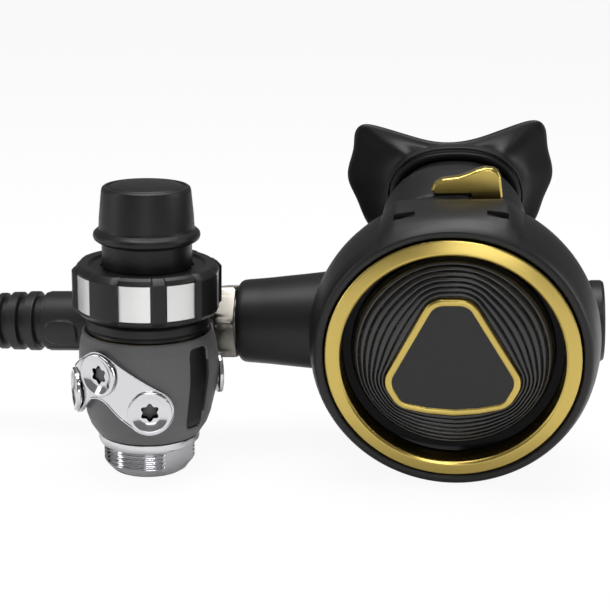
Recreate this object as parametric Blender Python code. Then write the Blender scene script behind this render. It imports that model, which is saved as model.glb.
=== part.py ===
"""Scuba regulator set: first stage with a screw-in handwheel, low pressure hose and second stage.

World frame: +Z up, the first stage stands on its spring retainer with its axis on Z.
Second stage frame: origin at the centre of the front ring, X to its right, Y into its depth, Z up.
Lengths below are in millimetres and become metres through MM.
"""
import math

import bmesh
import bpy
from mathutils import Euler, Vector

MM = 0.001
GAP = 0.3                      # clearance between pieces that touch

# ---------------------------------------------------------------- first stage, driving dimensions
BASE_R = 10.9                  # flat foot of the spring retainer
RETAINER_R = 13.5
FLAT_AT = 11.1                 # wrench flats from the axis
FLAT_ANGLE = 57.0
COVER_PROFILE = [(15.4, 11.7), (17.3, 14.6), (18.3, 17.5), (19.2, 23.3), (20.1, 29.0),
                 (20.3, 31.5), (20.2, 36.0), (19.9, 39.0), (19.1, 42.4), (18.3, 43.0)]
COVER_WALL = 1.7
WHEEL_R = 20.7                 # handwheel where the metal shows
LOBE_R, RIB_R = 22.0, 21.7
WHEEL_BOTTOM, WHEEL_TOP = 47.9, 62.4
HUB_R, HUB_LOW, HUB_HIGH = 20.4, 49.9, 60.3
RIB_CENTRE = 15.0              # first rib, degrees from the front towards +X, one every 90 degrees
RIB_HALF, PLATE_WIDTH = 6.5, 25.0
NOSE_R, NOSE_TOP = 11.4, 79.6  # G 5/8 inlet thread
PORT_BORE_R = 3.9
PLUG_STEM_R, PLUG_HEAD_R = 3.6, 6.3
PLUG_FACE = 22.2               # outer face of a plug from the axis
PLATE_IN, PLATE_OUT, PLATE_HALF = 20.65, 21.25, 6.9
PLUGS = {                      # name: (angle from the front towards +X in degrees, height)
    "port_plug_front": (7.0, 23.75),
    "port_plug_front_left": (-35.0, 33.5),
    "port_plug_left": (-73.0, 25.5),
    "port_plug_rear_left": (-135.0, 31.0),
    "port_plug_rear_right": (103.0, 28.0),
}
HOSE_PORT_Z = 19.5             # low pressure port at the back

# ---------------------------------------------------------------- hose
HOSE_R = 6.25
HOSE_Z = HOSE_R + 0.2          # hose axis where it lies on the ground
SLEEVE_R, SLEEVE_BORE = 9.4, 6.75
LOOP_LEFT, LOOP_NEAR, LOOP_FAR = -176.0, 35.5, 138.0
FITTING_END = 41.0             # hose leaves the first stage here, behind its axis

# ---------------------------------------------------------------- second stage
SECOND_ORIGIN = (87.21, -20.83, 40.01)
SECOND_TURN = (7.0, -3.2, -7.0)          # lean, roll and yaw in degrees
RING_R, RING_IN_R = 36.0, 31.6
DISC_R = 28.8
CASE_OUTER = [(36.4, 1.4), (37.4, 0.7), (38.6, 0.8), (39.6, 2.5), (40.5, 5.0), (41.3, 9.0), (41.9, 13.0),
              (42.1, 17.0), (41.7, 21.0), (40.9, 25.0), (39.8, 29.0), (38.0, 32.5), (35.0, 35.5),
              (31.0, 37.6), (26.0, 38.8), (14.0, 39.6), (0.0, 39.8)]
CASE_SEAT = [(0.0, 10.7), (32.7, 10.7), (32.7, 9.2), (34.4, 9.2), (34.4, 3.4), (36.4, 3.4)]
CASE_ROOM = [(0.0, 9.0), (31.2, 9.0), (31.2, 12.0), (37.2, 13.5), (38.6, 16.5), (38.3, 21.0), (37.0, 27.0),
             (35.4, 30.4), (32.6, 33.2), (24.4, 36.1), (0.0, 37.1)]
INLET_DEPTH, INLET_Z = 36.5, -2.6        # inlet axis behind and below the ring's centre
NECK_END, BOSS_END = -66.3, 43.8
BARREL_BORE = 9.6
NUT = (-72.3, -66.8)
NUT_PHASE = 0.0                          # turn of the hexagon about the inlet axis, degrees
FERRULE = (-79.0, -73.0)
SLEEVE = (-148.0, -108.0)
SHAFT_X, SHAFT_DEPTH = 11.4, 25.4        # venturi lever's upright shaft
PANEL_TOP = 41.6
EXHAUST_Z = -27.5
MOUTH = [(26.0, 24.5, 21.4, 17.0), (40.0, 27.0, 21.3, 17.5), (45.0, 28.6, 19.6, 15.6),
         (50.0, 30.0, 17.0, 12.6), (66.0, 30.0, 16.9, 12.5)]      # depth, height, half width, half height
BADGE = [(-4.8, 18.1), (4.8, 18.1), (18.8, -7.5), (15.0, -15.1), (0.0, -17.6), (-15.0, -15.1), (-18.8, -7.5)]

FINISHES = {                             # colour, roughness, metallic
    "chrome": ((0.62, 0.62, 0.63), 0.14, 1.0),
    "satin_metal": ((0.72, 0.71, 0.68), 0.30, 1.0),
    "brass": ((0.66, 0.50, 0.26), 0.32, 1.0),
    "steel": ((0.52, 0.52, 0.53), 0.28, 1.0),
    "gold": ((0.80, 0.66, 0.28), 0.30, 1.0),
    "black_plastic": ((0.018, 0.018, 0.019), 0.45, 0.0),
    "gloss_black": ((0.006, 0.006, 0.007), 0.12, 0.0),
    "grey_panel": ((0.035, 0.035, 0.037), 0.38, 0.0),
    "black_rubber": ((0.014, 0.014, 0.015), 0.60, 0.0),
    "grey_rubber": ((0.075, 0.075, 0.077), 0.55, 0.0),
    "silicone": ((0.012, 0.012, 0.013), 0.48, 0.0),
}

for old in list(bpy.data.objects):
    bpy.data.objects.remove(old, do_unlink=True)


# ---------------------------------------------------------------- helpers
def finish(name):
    """Return the Principled material of one finish, making it on first use."""
    material = bpy.data.materials.get(name)
    if material is None:
        colour, roughness, metallic = FINISHES[name]
        material = bpy.data.materials.new(name)
        material.use_nodes = True
        shader = material.node_tree.nodes["Principled BSDF"]
        shader.inputs["Base Color"].default_value = (*colour, 1.0)
        shader.inputs["Roughness"].default_value = roughness
        shader.inputs["Metallic"].default_value = metallic
    return material


def add_object(name, data, material, parent=None, at=(0, 0, 0), turn=(0, 0, 0)):
    """Link one object; at is in millimetres and turn is an XYZ Euler in radians."""
    obj = bpy.data.objects.new(name, data)
    bpy.context.scene.collection.objects.link(obj)
    if material:
        data.materials.append(finish(material))
    obj.parent = parent
    obj.location = Vector(at) * MM
    obj.rotation_euler = turn
    return obj


def close_mesh(name, bm, material, smooth_angle=35.0, **place):
    """Finish a bmesh as an object with outward faces and smooth round sides."""
    bmesh.ops.remove_doubles(bm, verts=bm.verts, dist=1e-7)
    bmesh.ops.recalc_face_normals(bm, faces=bm.faces)
    mesh = bpy.data.meshes.new(name)
    bm.to_mesh(mesh)
    bm.free()
    mesh.shade_smooth()
    mesh.set_sharp_from_angle(angle=math.radians(smooth_angle))
    return add_object(name, mesh, material, **place)


def turned(name, profile, material, steps=32, **place):
    """Spin a (radius, height) outline about the local Z axis."""
    on_axis = [i for i, p in enumerate(profile) if p[0] == 0]
    if len(on_axis) == 2 and on_axis[1] == on_axis[0] + 1:
        profile = profile[on_axis[1]:] + profile[:on_axis[1]]
    bm = bmesh.new()
    verts = [bm.verts.new((r * MM, 0.0, h * MM)) for r, h in profile]
    edges = [bm.edges.new(pair) for pair in zip(verts, verts[1:])]
    if profile[0][0] > 0 or profile[-1][0] > 0:
        edges.append(bm.edges.new((verts[-1], verts[0])))
    bmesh.ops.spin(bm, geom=verts + edges, cent=(0, 0, 0), axis=(0, 0, 1),
                   angle=2 * math.pi, steps=steps, use_merge=True)
    return close_mesh(name, bm, material, **place)


def tube_profile(r_in, r_out, low, high):
    """Outline of a plain ring for turned()."""
    return [(r_in, low), (r_out, low), (r_out, high), (r_in, high)]


def rod_profile(r, low, high):
    """Outline of a plain rod for turned()."""
    return [(0.0, low), (r, low), (r, high), (0.0, high)]


def lofted(name, sections, material, **place):
    """Skin closed sections with equal point counts and cap both ends."""
    bm = bmesh.new()
    loops = [[bm.verts.new(Vector(p) * MM) for p in section] for section in sections]
    count = len(loops[0])
    for near, far in zip(loops, loops[1:]):
        for i in range(count):
            j = (i + 1) % count
            bm.faces.new((near[i], near[j], far[j], far[i]))
    bm.faces.new(loops[0])
    bm.faces.new(loops[-1])
    return close_mesh(name, bm, material, **place)


def extruded(name, outline, low, high, material, plane="XY", **place):
    """Extrude an outline; plane XY extrudes along Z, XZ extrudes along Y."""
    def corner(p, level):
        return (p[0], p[1], level) if plane == "XY" else (p[0], level, p[1])
    return lofted(name, [[corner(p, low) for p in outline], [corner(p, high) for p in outline]],
                  material, **place)


def strips(name, bands, material, **place):
    """Closed curved bands; each is a list of sections with four corner points."""
    bm = bmesh.new()
    for band in bands:
        loops = [[bm.verts.new(Vector(p) * MM) for p in section] for section in band]
        count = len(loops[0])
        for near, far in zip(loops, loops[1:]):
            for i in range(count):
                j = (i + 1) % count
                bm.faces.new((near[i], near[j], far[j], far[i]))
        bm.faces.new(loops[0])
        bm.faces.new(loops[-1])
    return close_mesh(name, bm, material, **place)


def combine(target, tool, operation="DIFFERENCE"):
    """Apply an exact Boolean to target and remove the tool."""
    modifier = target.modifiers.new("combine", "BOOLEAN")
    modifier.operation = operation
    modifier.solver = "EXACT"
    modifier.object = tool
    bpy.context.view_layer.update()
    graph = bpy.context.evaluated_depsgraph_get()
    result = bpy.data.meshes.new_from_object(target.evaluated_get(graph))
    target.modifiers.remove(modifier)
    target.data = result
    bm = bmesh.new()
    bm.from_mesh(result)
    bmesh.ops.remove_doubles(bm, verts=bm.verts, dist=1e-6)
    bmesh.ops.dissolve_degenerate(bm, edges=bm.edges, dist=1e-6)
    bm.to_mesh(result)
    bm.free()
    target.data.set_sharp_from_angle(angle=math.radians(35.0))
    bpy.data.objects.remove(tool, do_unlink=True)
    return target


def oval(centre_x, centre_y, centre_z, a, b, count=20, power=2.3):
    """Closed oval section in the XZ plane at one depth."""
    points = []
    for i in range(count):
        t = 2 * math.pi * i / count
        c, s = math.cos(t), math.sin(t)
        points.append((centre_x + a * math.copysign(abs(c) ** (2 / power), c), centre_y,
                       centre_z + b * math.copysign(abs(s) ** (2 / power), s)))
    return points


def radial(angle, r, z):
    """Point on the first stage at an angle in degrees from its front towards +X."""
    a = math.radians(angle)
    return (r * math.sin(a), -r * math.cos(a), z)


def radial_turn(angle):
    """Rotation that sends local Z outwards at an angle of the first stage."""
    return (math.pi / 2, 0.0, math.radians(angle))


def cover_radius(z):
    """Radius of the rubber cover at a height."""
    for (r0, z0), (r1, z1) in zip(COVER_PROFILE, COVER_PROFILE[1:]):
        if z <= z1:
            return r0 + (r1 - r0) * (z - z0) / (z1 - z0)
    return COVER_PROFILE[-1][0]


def wrapped(angle_low, angle_high, z_low, z_high, r_in, r_out, steps=3):
    """Band section list that wraps a rectangle round the first stage."""
    band = []
    for i in range(steps + 1):
        angle = angle_low + (angle_high - angle_low) * i / steps
        band.append([radial(angle, r_in, z_low), radial(angle, r_out, z_low),
                     radial(angle, r_out, z_high), radial(angle, r_in, z_high)])
    return band


def smooth_route(points, spacing):
    """Catmull-Rom curve through route points, read at an even spacing."""
    pts = [Vector(p) for p in points]
    pts = [2 * pts[0] - pts[1]] + pts + [2 * pts[-1] - pts[-2]]
    fine = []
    for a, b, c, d in zip(pts, pts[1:], pts[2:], pts[3:]):
        for k in range(24):
            t = k / 24
            fine.append(0.5 * (2 * b + (c - a) * t + (2 * a - 5 * b + 4 * c - d) * t * t
                               + (3 * b - a - 3 * c + d) * t ** 3))
    fine.append(pts[-2])
    total = sum((q - p).length for p, q in zip(fine, fine[1:]))
    steps = max(2, round(total / spacing))
    out, walked, index = [fine[0]], 0.0, 0
    for k in range(1, steps):
        goal = total * k / steps
        while walked + (fine[index + 1] - fine[index]).length < goal:
            walked += (fine[index + 1] - fine[index]).length
            index += 1
        step = fine[index + 1] - fine[index]
        out.append(fine[index] + step * ((goal - walked) / step.length))
    return out + [fine[-1]]


def tube_curve(name, points, radius, material, sides=8, **place):
    """Round bar along points given in millimetres."""
    curve = bpy.data.curves.new(name, "CURVE")
    curve.dimensions = "3D"
    curve.bevel_depth = radius * MM
    curve.bevel_resolution = (sides - 4) // 2
    curve.use_fill_caps = True
    spline = curve.splines.new("POLY")
    spline.points.add(len(points) - 1)
    for knot, p in zip(spline.points, points):
        knot.co = (p[0] * MM, p[1] * MM, p[2] * MM, 1.0)
    return add_object(name, curve, material, **place)


def coil_spring(name, radius, wire, low, high, turns, material, **place):
    """Helical spring about the local Z axis."""
    count = 9 * turns
    points = []
    for i in range(count + 1):
        t = 2 * math.pi * turns * i / count
        points.append((radius * math.cos(t), radius * math.sin(t), low + (high - low) * i / count))
    return tube_curve(name, points, wire, material, sides=6, **place)


def shell(name, loops, material, **place):
    """Closed hollow body through a ring of loops: the last loop joins the first."""
    bm = bmesh.new()
    rings = [[bm.verts.new(Vector(p) * MM) for p in loop] for loop in loops]
    count = len(rings[0])
    for near, far in zip(rings, rings[1:] + rings[:1]):
        for i in range(count):
            j = (i + 1) % count
            bm.faces.new((near[i], near[j], far[j], far[i]))
    return close_mesh(name, bm, material, **place)


def blocks(name, boxes, material=None, **place):
    """One mesh of separate boxes, each given as its eight corners."""
    bm = bmesh.new()
    for corners in boxes:
        v = [bm.verts.new(Vector(p) * MM) for p in corners]
        for face in ((0, 1, 2, 3), (4, 5, 6, 7), (0, 1, 5, 4), (1, 2, 6, 5), (2, 3, 7, 6), (3, 0, 4, 7)):
            bm.faces.new([v[k] for k in face])
    return close_mesh(name, bm, material, **place)


def box(x, y, z):
    """Eight corners of an upright box from three ranges."""
    return [(x[a], y[b], z[c]) for c in (0, 1) for a, b in ((0, 0), (1, 0), (1, 1), (0, 1))]


def regular(count, radius, phase=0.0):
    """Corners of a regular polygon."""
    return [(radius * math.cos(2 * math.pi * i / count + phase),
             radius * math.sin(2 * math.pi * i / count + phase)) for i in range(count)]


# ---------------------------------------------------------------- first stage: lower end
def build_retainer():
    """Knurled spring retainer with two wrench flats, a flat foot and a spring cup."""
    r = RETAINER_R
    profile = [(0.0, 0.0), (BASE_R, 0.0), (13.0, 2.2), (r, 3.0), (r, 3.5)]
    for k in range(4):
        z = 3.5 + 1.15 * k
        profile += [(r - 0.6, z + 0.45), (r, z + 0.8), (r, z + 1.15)]
    profile += [(14.6, 8.5), (14.9, 9.2), (14.9, 11.0), (12.3, 11.2), (12.3, 16.9), (9.8, 16.9), (9.8, 3.0), (0.0, 3.0)]
    retainer = turned("spring_retainer", profile, "satin_metal", steps=24)
    a = math.radians(FLAT_ANGLE)
    out, side = Vector((math.sin(a), -math.cos(a), 0)), Vector((math.cos(a), math.sin(a), 0))
    cutters = []
    for way in (1, -1):
        corners = []
        for z in (-1.0, 8.0):
            for far, across in ((FLAT_AT, -12), (20, -12), (20, 12), (FLAT_AT, 12)):
                corners.append(out * far * way + side * across + Vector((0, 0, z)))
        cutters.append(corners)
    combine(retainer, blocks("flats", cutters))


def build_first_internals():
    """Spring, diaphragm, push pin, seat and poppet on the main axis."""
    coil_spring("main_spring", 7.6, 1.1, 4.4, 14.4, 4, "steel")
    turned("spring_pad", [(0, 15.6), (9.3, 15.6), (9.3, 16.6), (4.0, 17.0), (0, 17.0)], "brass", steps=20)
    turned("first_stage_diaphragm", [(0, 17.3), (12.4, 17.3), (12.4, 18.3), (0, 18.3)], "black_rubber", steps=24)
    turned("push_pin", [(0, 18.6), (5.0, 18.6), (5.0, 19.4), (1.2, 20.0), (1.2, 28.7), (0, 28.7)],
           "brass", steps=16)
    turned("high_pressure_seat", tube_profile(1.6, 4.7, 26.9, 28.6), "brass", steps=20)
    turned("high_pressure_poppet", [(0, 29.0), (3.6, 29.0), (4.4, 29.8), (4.4, 31.0), (1.6, 31.4), (1.6, 36.4),
                                    (0, 36.4)], "steel", steps=20)
    coil_spring("poppet_spring", 3.6, 0.4, 31.9, 37.2, 3, "steel")


def build_body():
    """Brass core with port bores, diaphragm chamber and seat passage."""
    outer = [(r - COVER_WALL - GAP, z) for r, z in COVER_PROFILE[::2] + COVER_PROFILE[-1:]]
    outer.append((outer[-1][0], 43.4))
    inner = [(6.5, 43.4), (6.5, 38.2), (5.0, 38.0), (5.0, 26.6), (2.0, 26.4), (2.0, 22.2), (9.0, 22.0), (9.0, 18.6),
             (12.7, 18.6), (12.7, 11.7)]
    core = turned("first_stage_body", outer + inner, "brass", steps=20)
    for angle, z in list(PLUGS.values()) + [(180.0, HOSE_PORT_Z)]:
        bore = turned("bore", rod_profile(PORT_BORE_R, 0, 14), None, steps=12,
                      at=radial(angle, 13.2, z), turn=radial_turn(angle))
        combine(core, bore)


def build_cover():
    """Rubber body cover with plug holes and a bare recessed label field."""
    inner = [(r - COVER_WALL, z) for r, z in reversed(COVER_PROFILE[::2] + COVER_PROFILE[-1:])]
    cover = turned("body_cover", COVER_PROFILE + inner, "grey_rubber", steps=36)
    for angle, z in list(PLUGS.values()) + [(180.0, HOSE_PORT_Z)]:
        hole = turned("hole", rod_profile(4.4, 0, 14), None, steps=14,
                      at=radial(angle, 13.2, z), turn=radial_turn(angle))
        combine(cover, hole)
    low, high = 15.5, 40.5
    band = []
    for i in range(5):
        angle = 42.3 + 22.6 * i / 4
        inset = 1.6 if i in (0, 4) else 0.0
        band.append([radial(angle, cover_radius(low) - 0.55, low + inset), radial(angle, 23, low + inset),
                     radial(angle, 23, high - inset), radial(angle, cover_radius(high) - 0.55, high - inset),
                     radial(angle, cover_radius(31) - 0.55, 31), radial(angle, cover_radius(23) - 0.55, 23)])
    combine(cover, strips("label_field", [band], None))


def plate_edges(u):
    """Lower and upper edge of the port plate at one arc position."""
    scale = math.radians(1.0) * 21.0
    ports = [PLUGS[n] for n in ("port_plug_left", "port_plug_front_left", "port_plug_front")]
    spots = [(angle * scale, z) for angle, z in ports]
    low, high = [], []
    for cu, cz in spots:
        if abs(u - cu) < PLATE_HALF:
            rise = math.sqrt(PLATE_HALF ** 2 - (u - cu) ** 2)
            low.append(cz - rise)
            high.append(cz + rise)
    for (u0, z0), (u1, z1) in zip(spots, spots[1:]):
        slope = math.atan2(z1 - z0, u1 - u0)
        a = (u0 - PLATE_HALF * math.sin(slope), z0 + PLATE_HALF * math.cos(slope))
        b = (u1 - PLATE_HALF * math.sin(slope), z1 + PLATE_HALF * math.cos(slope))
        if a[0] <= u <= b[0]:
            high.append(a[1] + (b[1] - a[1]) * (u - a[0]) / (b[0] - a[0]))
    c, a, b = spots
    arch = [(c[0] + 3.0, c[1] - 6.2), (c[0] + 7.0, 22.6), (a[0] - 3.2, 25.2), (a[0], 26.0), (a[0] + 3.0, 24.8),
            (a[0] + 6.5, 21.7), (b[0] - 5.0, b[1] - 4.8)]
    for (u0, z0), (u1, z1) in zip(arch, arch[1:]):
        if u0 <= u <= u1:
            low = [z0 + (z1 - z0) * (u - u0) / (u1 - u0)]
    return min(low), max(high)


def build_port_plate():
    """Chromed wave-shaped plate that joins three ports."""
    scale = math.radians(1.0) * 21.0
    first = PLUGS["port_plug_left"][0] * scale - PLATE_HALF + 0.12
    last = PLUGS["port_plug_front"][0] * scale + PLATE_HALF - 0.12
    band = []
    steps = 34
    for i in range(steps + 1):
        t = i / steps
        u = first + (last - first) * (t - 0.09 * math.sin(2 * math.pi * t))
        low, high = plate_edges(u)
        angle = u / scale
        band.append([radial(angle, PLATE_IN, low), radial(angle, PLATE_OUT, low + 0.25),
                     radial(angle, PLATE_OUT, high - 0.25), radial(angle, PLATE_IN, high)])
    plate = strips("port_plate", [band], "chrome")
    for name in ("port_plug_left", "port_plug_front_left", "port_plug_front"):
        angle, z = PLUGS[name]
        hole = turned("hole", rod_profile(4.1, 0, 12), None, steps=16,
                      at=radial(angle, 16.0, z), turn=radial_turn(angle))
        combine(plate, hole)


def build_plugs():
    """Round-headed port plugs with six-lobed sockets."""
    for name, (angle, z) in PLUGS.items():
        on_plate = name in ("port_plug_left", "port_plug_front_left", "port_plug_front")
        drop = 0.0 if on_plate else 0.6
        face = PLUG_FACE - drop
        seat = PLATE_OUT + GAP - 14.0 - drop
        top = face - 14.0
        profile = [(0, 0), (PLUG_STEM_R, 0), (PLUG_STEM_R, seat), (PLUG_HEAD_R, seat), (PLUG_HEAD_R, top - 0.35),
                   (PLUG_HEAD_R - 0.6, top), (0, top)]
        plug = turned(name, profile, "chrome", steps=20, at=radial(angle, 14.0, z), turn=radial_turn(angle))
        star = [(p[0] * (1.0 if i % 2 else 0.74), p[1] * (1.0 if i % 2 else 0.74))
                for i, p in enumerate(regular(12, 2.0))]
        socket = extruded("socket", star, top - 2.6, top + 1.0, None,
                          at=radial(angle, 14.0, z), turn=radial_turn(angle))
        combine(plug, socket)


# ---------------------------------------------------------------- first stage: inlet end
def wheel_radius(angle):
    """Outer radius of the grip at an angle of its 90 degree pattern."""
    local = (angle - RIB_CENTRE + 45.0) % 90.0 - 45.0
    edge = RIB_HALF + PLATE_WIDTH
    if abs(local) <= RIB_HALF - 1.2:
        return RIB_R
    if abs(local) <= RIB_HALF:
        return RIB_R - 0.35
    if abs(local) <= edge:
        return WHEEL_R
    if abs(local) <= edge + 4.0:
        return WHEEL_R + (LOBE_R - WHEEL_R) * (0.45 + 0.55 * (abs(local) - edge) / 4.0)
    return LOBE_R


def build_grip():
    """Black over-moulded grip with four ribs, four lobes and eight windows."""
    edge = RIB_HALF + PLATE_WIDTH
    marks = [0, RIB_HALF - 1.2, RIB_HALF, RIB_HALF + 0.05, RIB_HALF + 12.5, edge - 0.05, edge, edge + 4.0, 45.0]
    local = sorted({round(v, 3) for m in marks for v in (-m, m)})[:-1]
    loops = []
    for quarter in range(4):
        for offset in local:
            angle = RIB_CENTRE + 90.0 * quarter + offset
            r = wheel_radius(angle)
            tall = r > WHEEL_R + 0.1
            chamfer = 1.1 if tall else 0.5
            section = [(16.4, 60.6), (16.4, WHEEL_TOP - 0.1), (17.0, WHEEL_TOP), (18.9, WHEEL_TOP),
                       (r - chamfer, 61.5), (r, 60.9), (r, 50.2 if tall else 49.2),
                       (r - chamfer - 0.5, 48.6 if tall else 48.3), (18.9, WHEEL_BOTTOM), (17.6, WHEEL_BOTTOM), (17.6, 49.6), (WHEEL_R, 49.6), (WHEEL_R, 60.6)]
            section = [(min(q, r + 0.0) if k < 9 else min(q, WHEEL_R - (0.0 if tall else 0.3)), z)
                       for k, (q, z) in enumerate(section)]
            loops.append([radial(angle, q, z) for q, z in section])
    grip = shell("handwheel_grip", loops, "black_plastic")
    windows = []
    for quarter in range(4):
        for side in (-1, 1):
            mid = RIB_CENTRE + 90.0 * quarter + side * (RIB_HALF + PLATE_WIDTH / 2)
            half = PLATE_WIDTH / 2
            corners = []
            for z in (49.4, 60.8):
                corners += [radial(mid - half, 19.6, z), radial(mid - half, 25, z), radial(mid + half, 25, z),
                            radial(mid + half, 19.6, z)]
            windows.append(corners)
    combine(grip, blocks("windows", windows))


def build_inlet():
    """Swivel collar, threaded handwheel hub, retaining bolt, filter, seal and dust cap."""
    turned("swivel_collar", [(6.6, 43.7), (17.5, 43.7), (18.1, 44.6), (18.0, 46.6), (17.4, 47.4), (6.6, 47.4)],
           "black_plastic", steps=28)
    profile = [(6.5, 48.0), (16.9, 48.0), (17.2, 48.4), (17.2, HUB_LOW), (HUB_R, HUB_LOW), (HUB_R, HUB_HIGH),
               (16.0, HUB_HIGH), (16.0, 60.9), (NOSE_R, 60.9), (NOSE_R, 63.0)]
    z = 63.0
    while z < NOSE_TOP - 4.0:
        profile += [(NOSE_R - 0.9, z + 2.0), (NOSE_R, z + 4.2)]
        z += 4.2
    profile += [(NOSE_R - 0.7, NOSE_TOP), (8.8, NOSE_TOP), (8.8, 76.0), (6.5, 76.0)]
    turned("handwheel_hub", profile, "satin_metal", steps=28)
    turned("inlet_bolt", [(3.0, 38.5), (6.1, 38.5), (6.1, 76.3), (8.4, 76.3), (8.4, 78.6), (7.6, 79.2), (6.2, 79.2),
                          (6.2, 78.5), (4.2, 78.5), (4.2, 72.0), (3.0, 71.0)], "chrome", steps=20)
    turned("inlet_filter", [(0, 72.6), (3.8, 72.6), (3.8, 73.6), (2.2, 77.0), (0, 77.6)], "brass", steps=20)
    turned("filter_clip", tube_profile(3.0, 4.0, 77.3, 78.1), "steel", steps=20)
    seal = [(6.9 + 0.75 * math.cos(t), 80.3 + 0.75 * math.sin(t))
            for t in (2 * math.pi * (k + 0.5) / 6 for k in range(6))]
    turned("inlet_seal", seal, "black_rubber", steps=20)
    turned("dust_cap", [(11.8, 61.3), (13.0, 61.3), (13.0, 68.7), (14.3, 69.2), (15.2, 69.9), (15.4, 70.7),
                        (15.2, 71.5), (14.4, 72.2), (13.9, 72.6), (13.6, 76.0), (12.8, 83.8), (12.3, 84.7),
                        (9.5, 85.5), (5.0, 86.0), (0, 86.1), (0, 82.6), (11.2, 82.4), (11.8, 81.8)],
           "black_plastic", steps=28)

# ---------------------------------------------------------------- hose
def second_point(x, depth, z):
    """World position in millimetres of a point of the second stage frame."""
    lean, roll, yaw = (math.radians(v) for v in SECOND_TURN)
    return Euler((lean, roll, yaw), "YXZ").to_matrix() @ Vector((x, depth, z)) + Vector(SECOND_ORIGIN)


def hose_points():
    """Hose axis from the second stage round its loop on the ground to the back of the first stage."""
    start = second_point(FERRULE[0] - GAP, INLET_DEPTH, INLET_Z)
    middle = second_point(-115.0, INLET_DEPTH, INLET_Z)
    end = second_point(SLEEVE[0], INLET_DEPTH, INLET_Z)
    turn = (LOOP_FAR - LOOP_NEAR) / 2
    centre = LOOP_NEAR + turn
    route = [start, start.lerp(middle, 0.5), middle, middle.lerp(end, 0.5), end,
             (-74.0, LOOP_NEAR, 31.0), (-96.0, LOOP_NEAR, 21.5), (-118.0, LOOP_NEAR, 11.8),
             (-136.0, LOOP_NEAR, 7.3), (-154.0, LOOP_NEAR, HOSE_Z)]
    for k in range(0, 7):
        a = math.pi * k / 6
        route.append((LOOP_LEFT - turn * math.sin(a), centre - turn * math.cos(a), HOSE_Z))
    bend = LOOP_FAR - 85.0
    route += [(-150.0, LOOP_FAR, HOSE_Z), (-120.0, LOOP_FAR, HOSE_Z), (-88.0, LOOP_FAR, HOSE_Z)]
    for k in range(0, 5):
        a = math.pi / 2 * k / 4
        lift = (0.0, 0.0, 0.3, 1.1, 3.2)[k]
        route.append((-bend + bend * math.sin(a), 85.0 + bend * math.cos(a), HOSE_Z + lift))
    route += [(0.0, 74.0, 12.9), (0.0, 64.0, 16.4), (0.0, 54.0, 18.8), (0.0, 47.0, HOSE_PORT_Z - 0.1),
              (0.0, FITTING_END + 0.2, HOSE_PORT_Z)]
    return smooth_route(route, 10.5)


def build_hose(axes):
    """Hose, its two crimped ends, the swivel nut and the ribbed sleeve."""
    along = (0.0, math.pi / 2, 0.0)
    tube_curve("low_pressure_hose", hose_points(), HOSE_R, "black_rubber", sides=10)
    fitting = [(2.4, 13.4), (PLUG_STEM_R, 13.4), (PLUG_STEM_R, 21.6), (7.9, 21.6), (7.9, 22.2), (6.6, 22.8),
               (6.6, 27.4), (7.9, 28.0), (7.9, FITTING_END - 1.6), (7.4, FITTING_END - GAP),
               (2.4, FITTING_END - GAP)]
    turned("first_stage_fitting", fitting, "chrome", steps=20, at=(0, 0, HOSE_PORT_Z),
           turn=(-math.pi / 2, 0, 0))
    at = (0.0, INLET_DEPTH, INLET_Z)
    ferrule = [(2.4, FERRULE[0]), (7.4, FERRULE[0]), (7.9, FERRULE[0] + 0.6), (7.9, FERRULE[1] - 0.8),
               (7.4, FERRULE[1]), (5.4, FERRULE[1]), (4.6, NUT[0]), (4.6, -62.6), (2.4, -62.6)]
    turned("hose_ferrule", ferrule, "chrome", steps=20, parent=axes, at=at, turn=along)
    hexagon = regular(6, 12.0, math.radians(NUT_PHASE))
    nut = extruded("swivel_nut", hexagon, NUT[0], NUT[1], "satin_metal", parent=axes, at=at, turn=along)
    collar = turned("collar", rod_profile(8.9, NUT[1] - 1.0, -62.0), None, steps=24, parent=axes, at=at, turn=along)
    combine(nut, collar, "UNION")
    bore = turned("bore", rod_profile(5.0, NUT[0] - 2.0, -60.0), None, steps=20, parent=axes, at=at, turn=along)
    combine(nut, bore)
    low, high = SLEEVE
    profile = [(SLEEVE_BORE + 0.3, low)]
    profile += [(7.4, low), (7.4, low + 4.5), (8.9, low + 4.5), (8.9, low + 6.5), (7.6, low + 6.6),
                (7.6, low + 8.8), (9.2, low + 8.9), (9.2, low + 12.0), (7.8, low + 12.1), (7.8, low + 14.3),
                (9.4, low + 14.4), (9.4, low + 17.3), (8.0, low + 17.4), (8.0, low + 19.9), (SLEEVE_R, low + 20.0)]
    profile += [(SLEEVE_R, high - 0.8), (SLEEVE_R - 0.8, high), (SLEEVE_BORE + 0.3, high)]
    sleeve = turned("hose_sleeve", profile, "black_rubber", steps=20, parent=axes, at=at, turn=along)
    pad = extruded("pad", [(p[0] * 5.3 * 0.775 , p[1] * 5.3) for p in regular(16, 1.0)], 0.0, 2.6, None, plane="XZ",
                   parent=axes, at=(-121.5, INLET_DEPTH - SLEEVE_R - 0.5, INLET_Z))
    combine(sleeve, pad, "UNION")


# ---------------------------------------------------------------- second stage
def case_radius(depth):
    """Outer radius of the case at a depth."""
    for (r0, d0), (r1, d1) in zip(CASE_OUTER[1:], CASE_OUTER[2:]):
        if depth <= d1:
            return r0 + (r1 - r0) * max(0.0, depth - d0) / (d1 - d0)
    return CASE_OUTER[-1][0]


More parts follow.
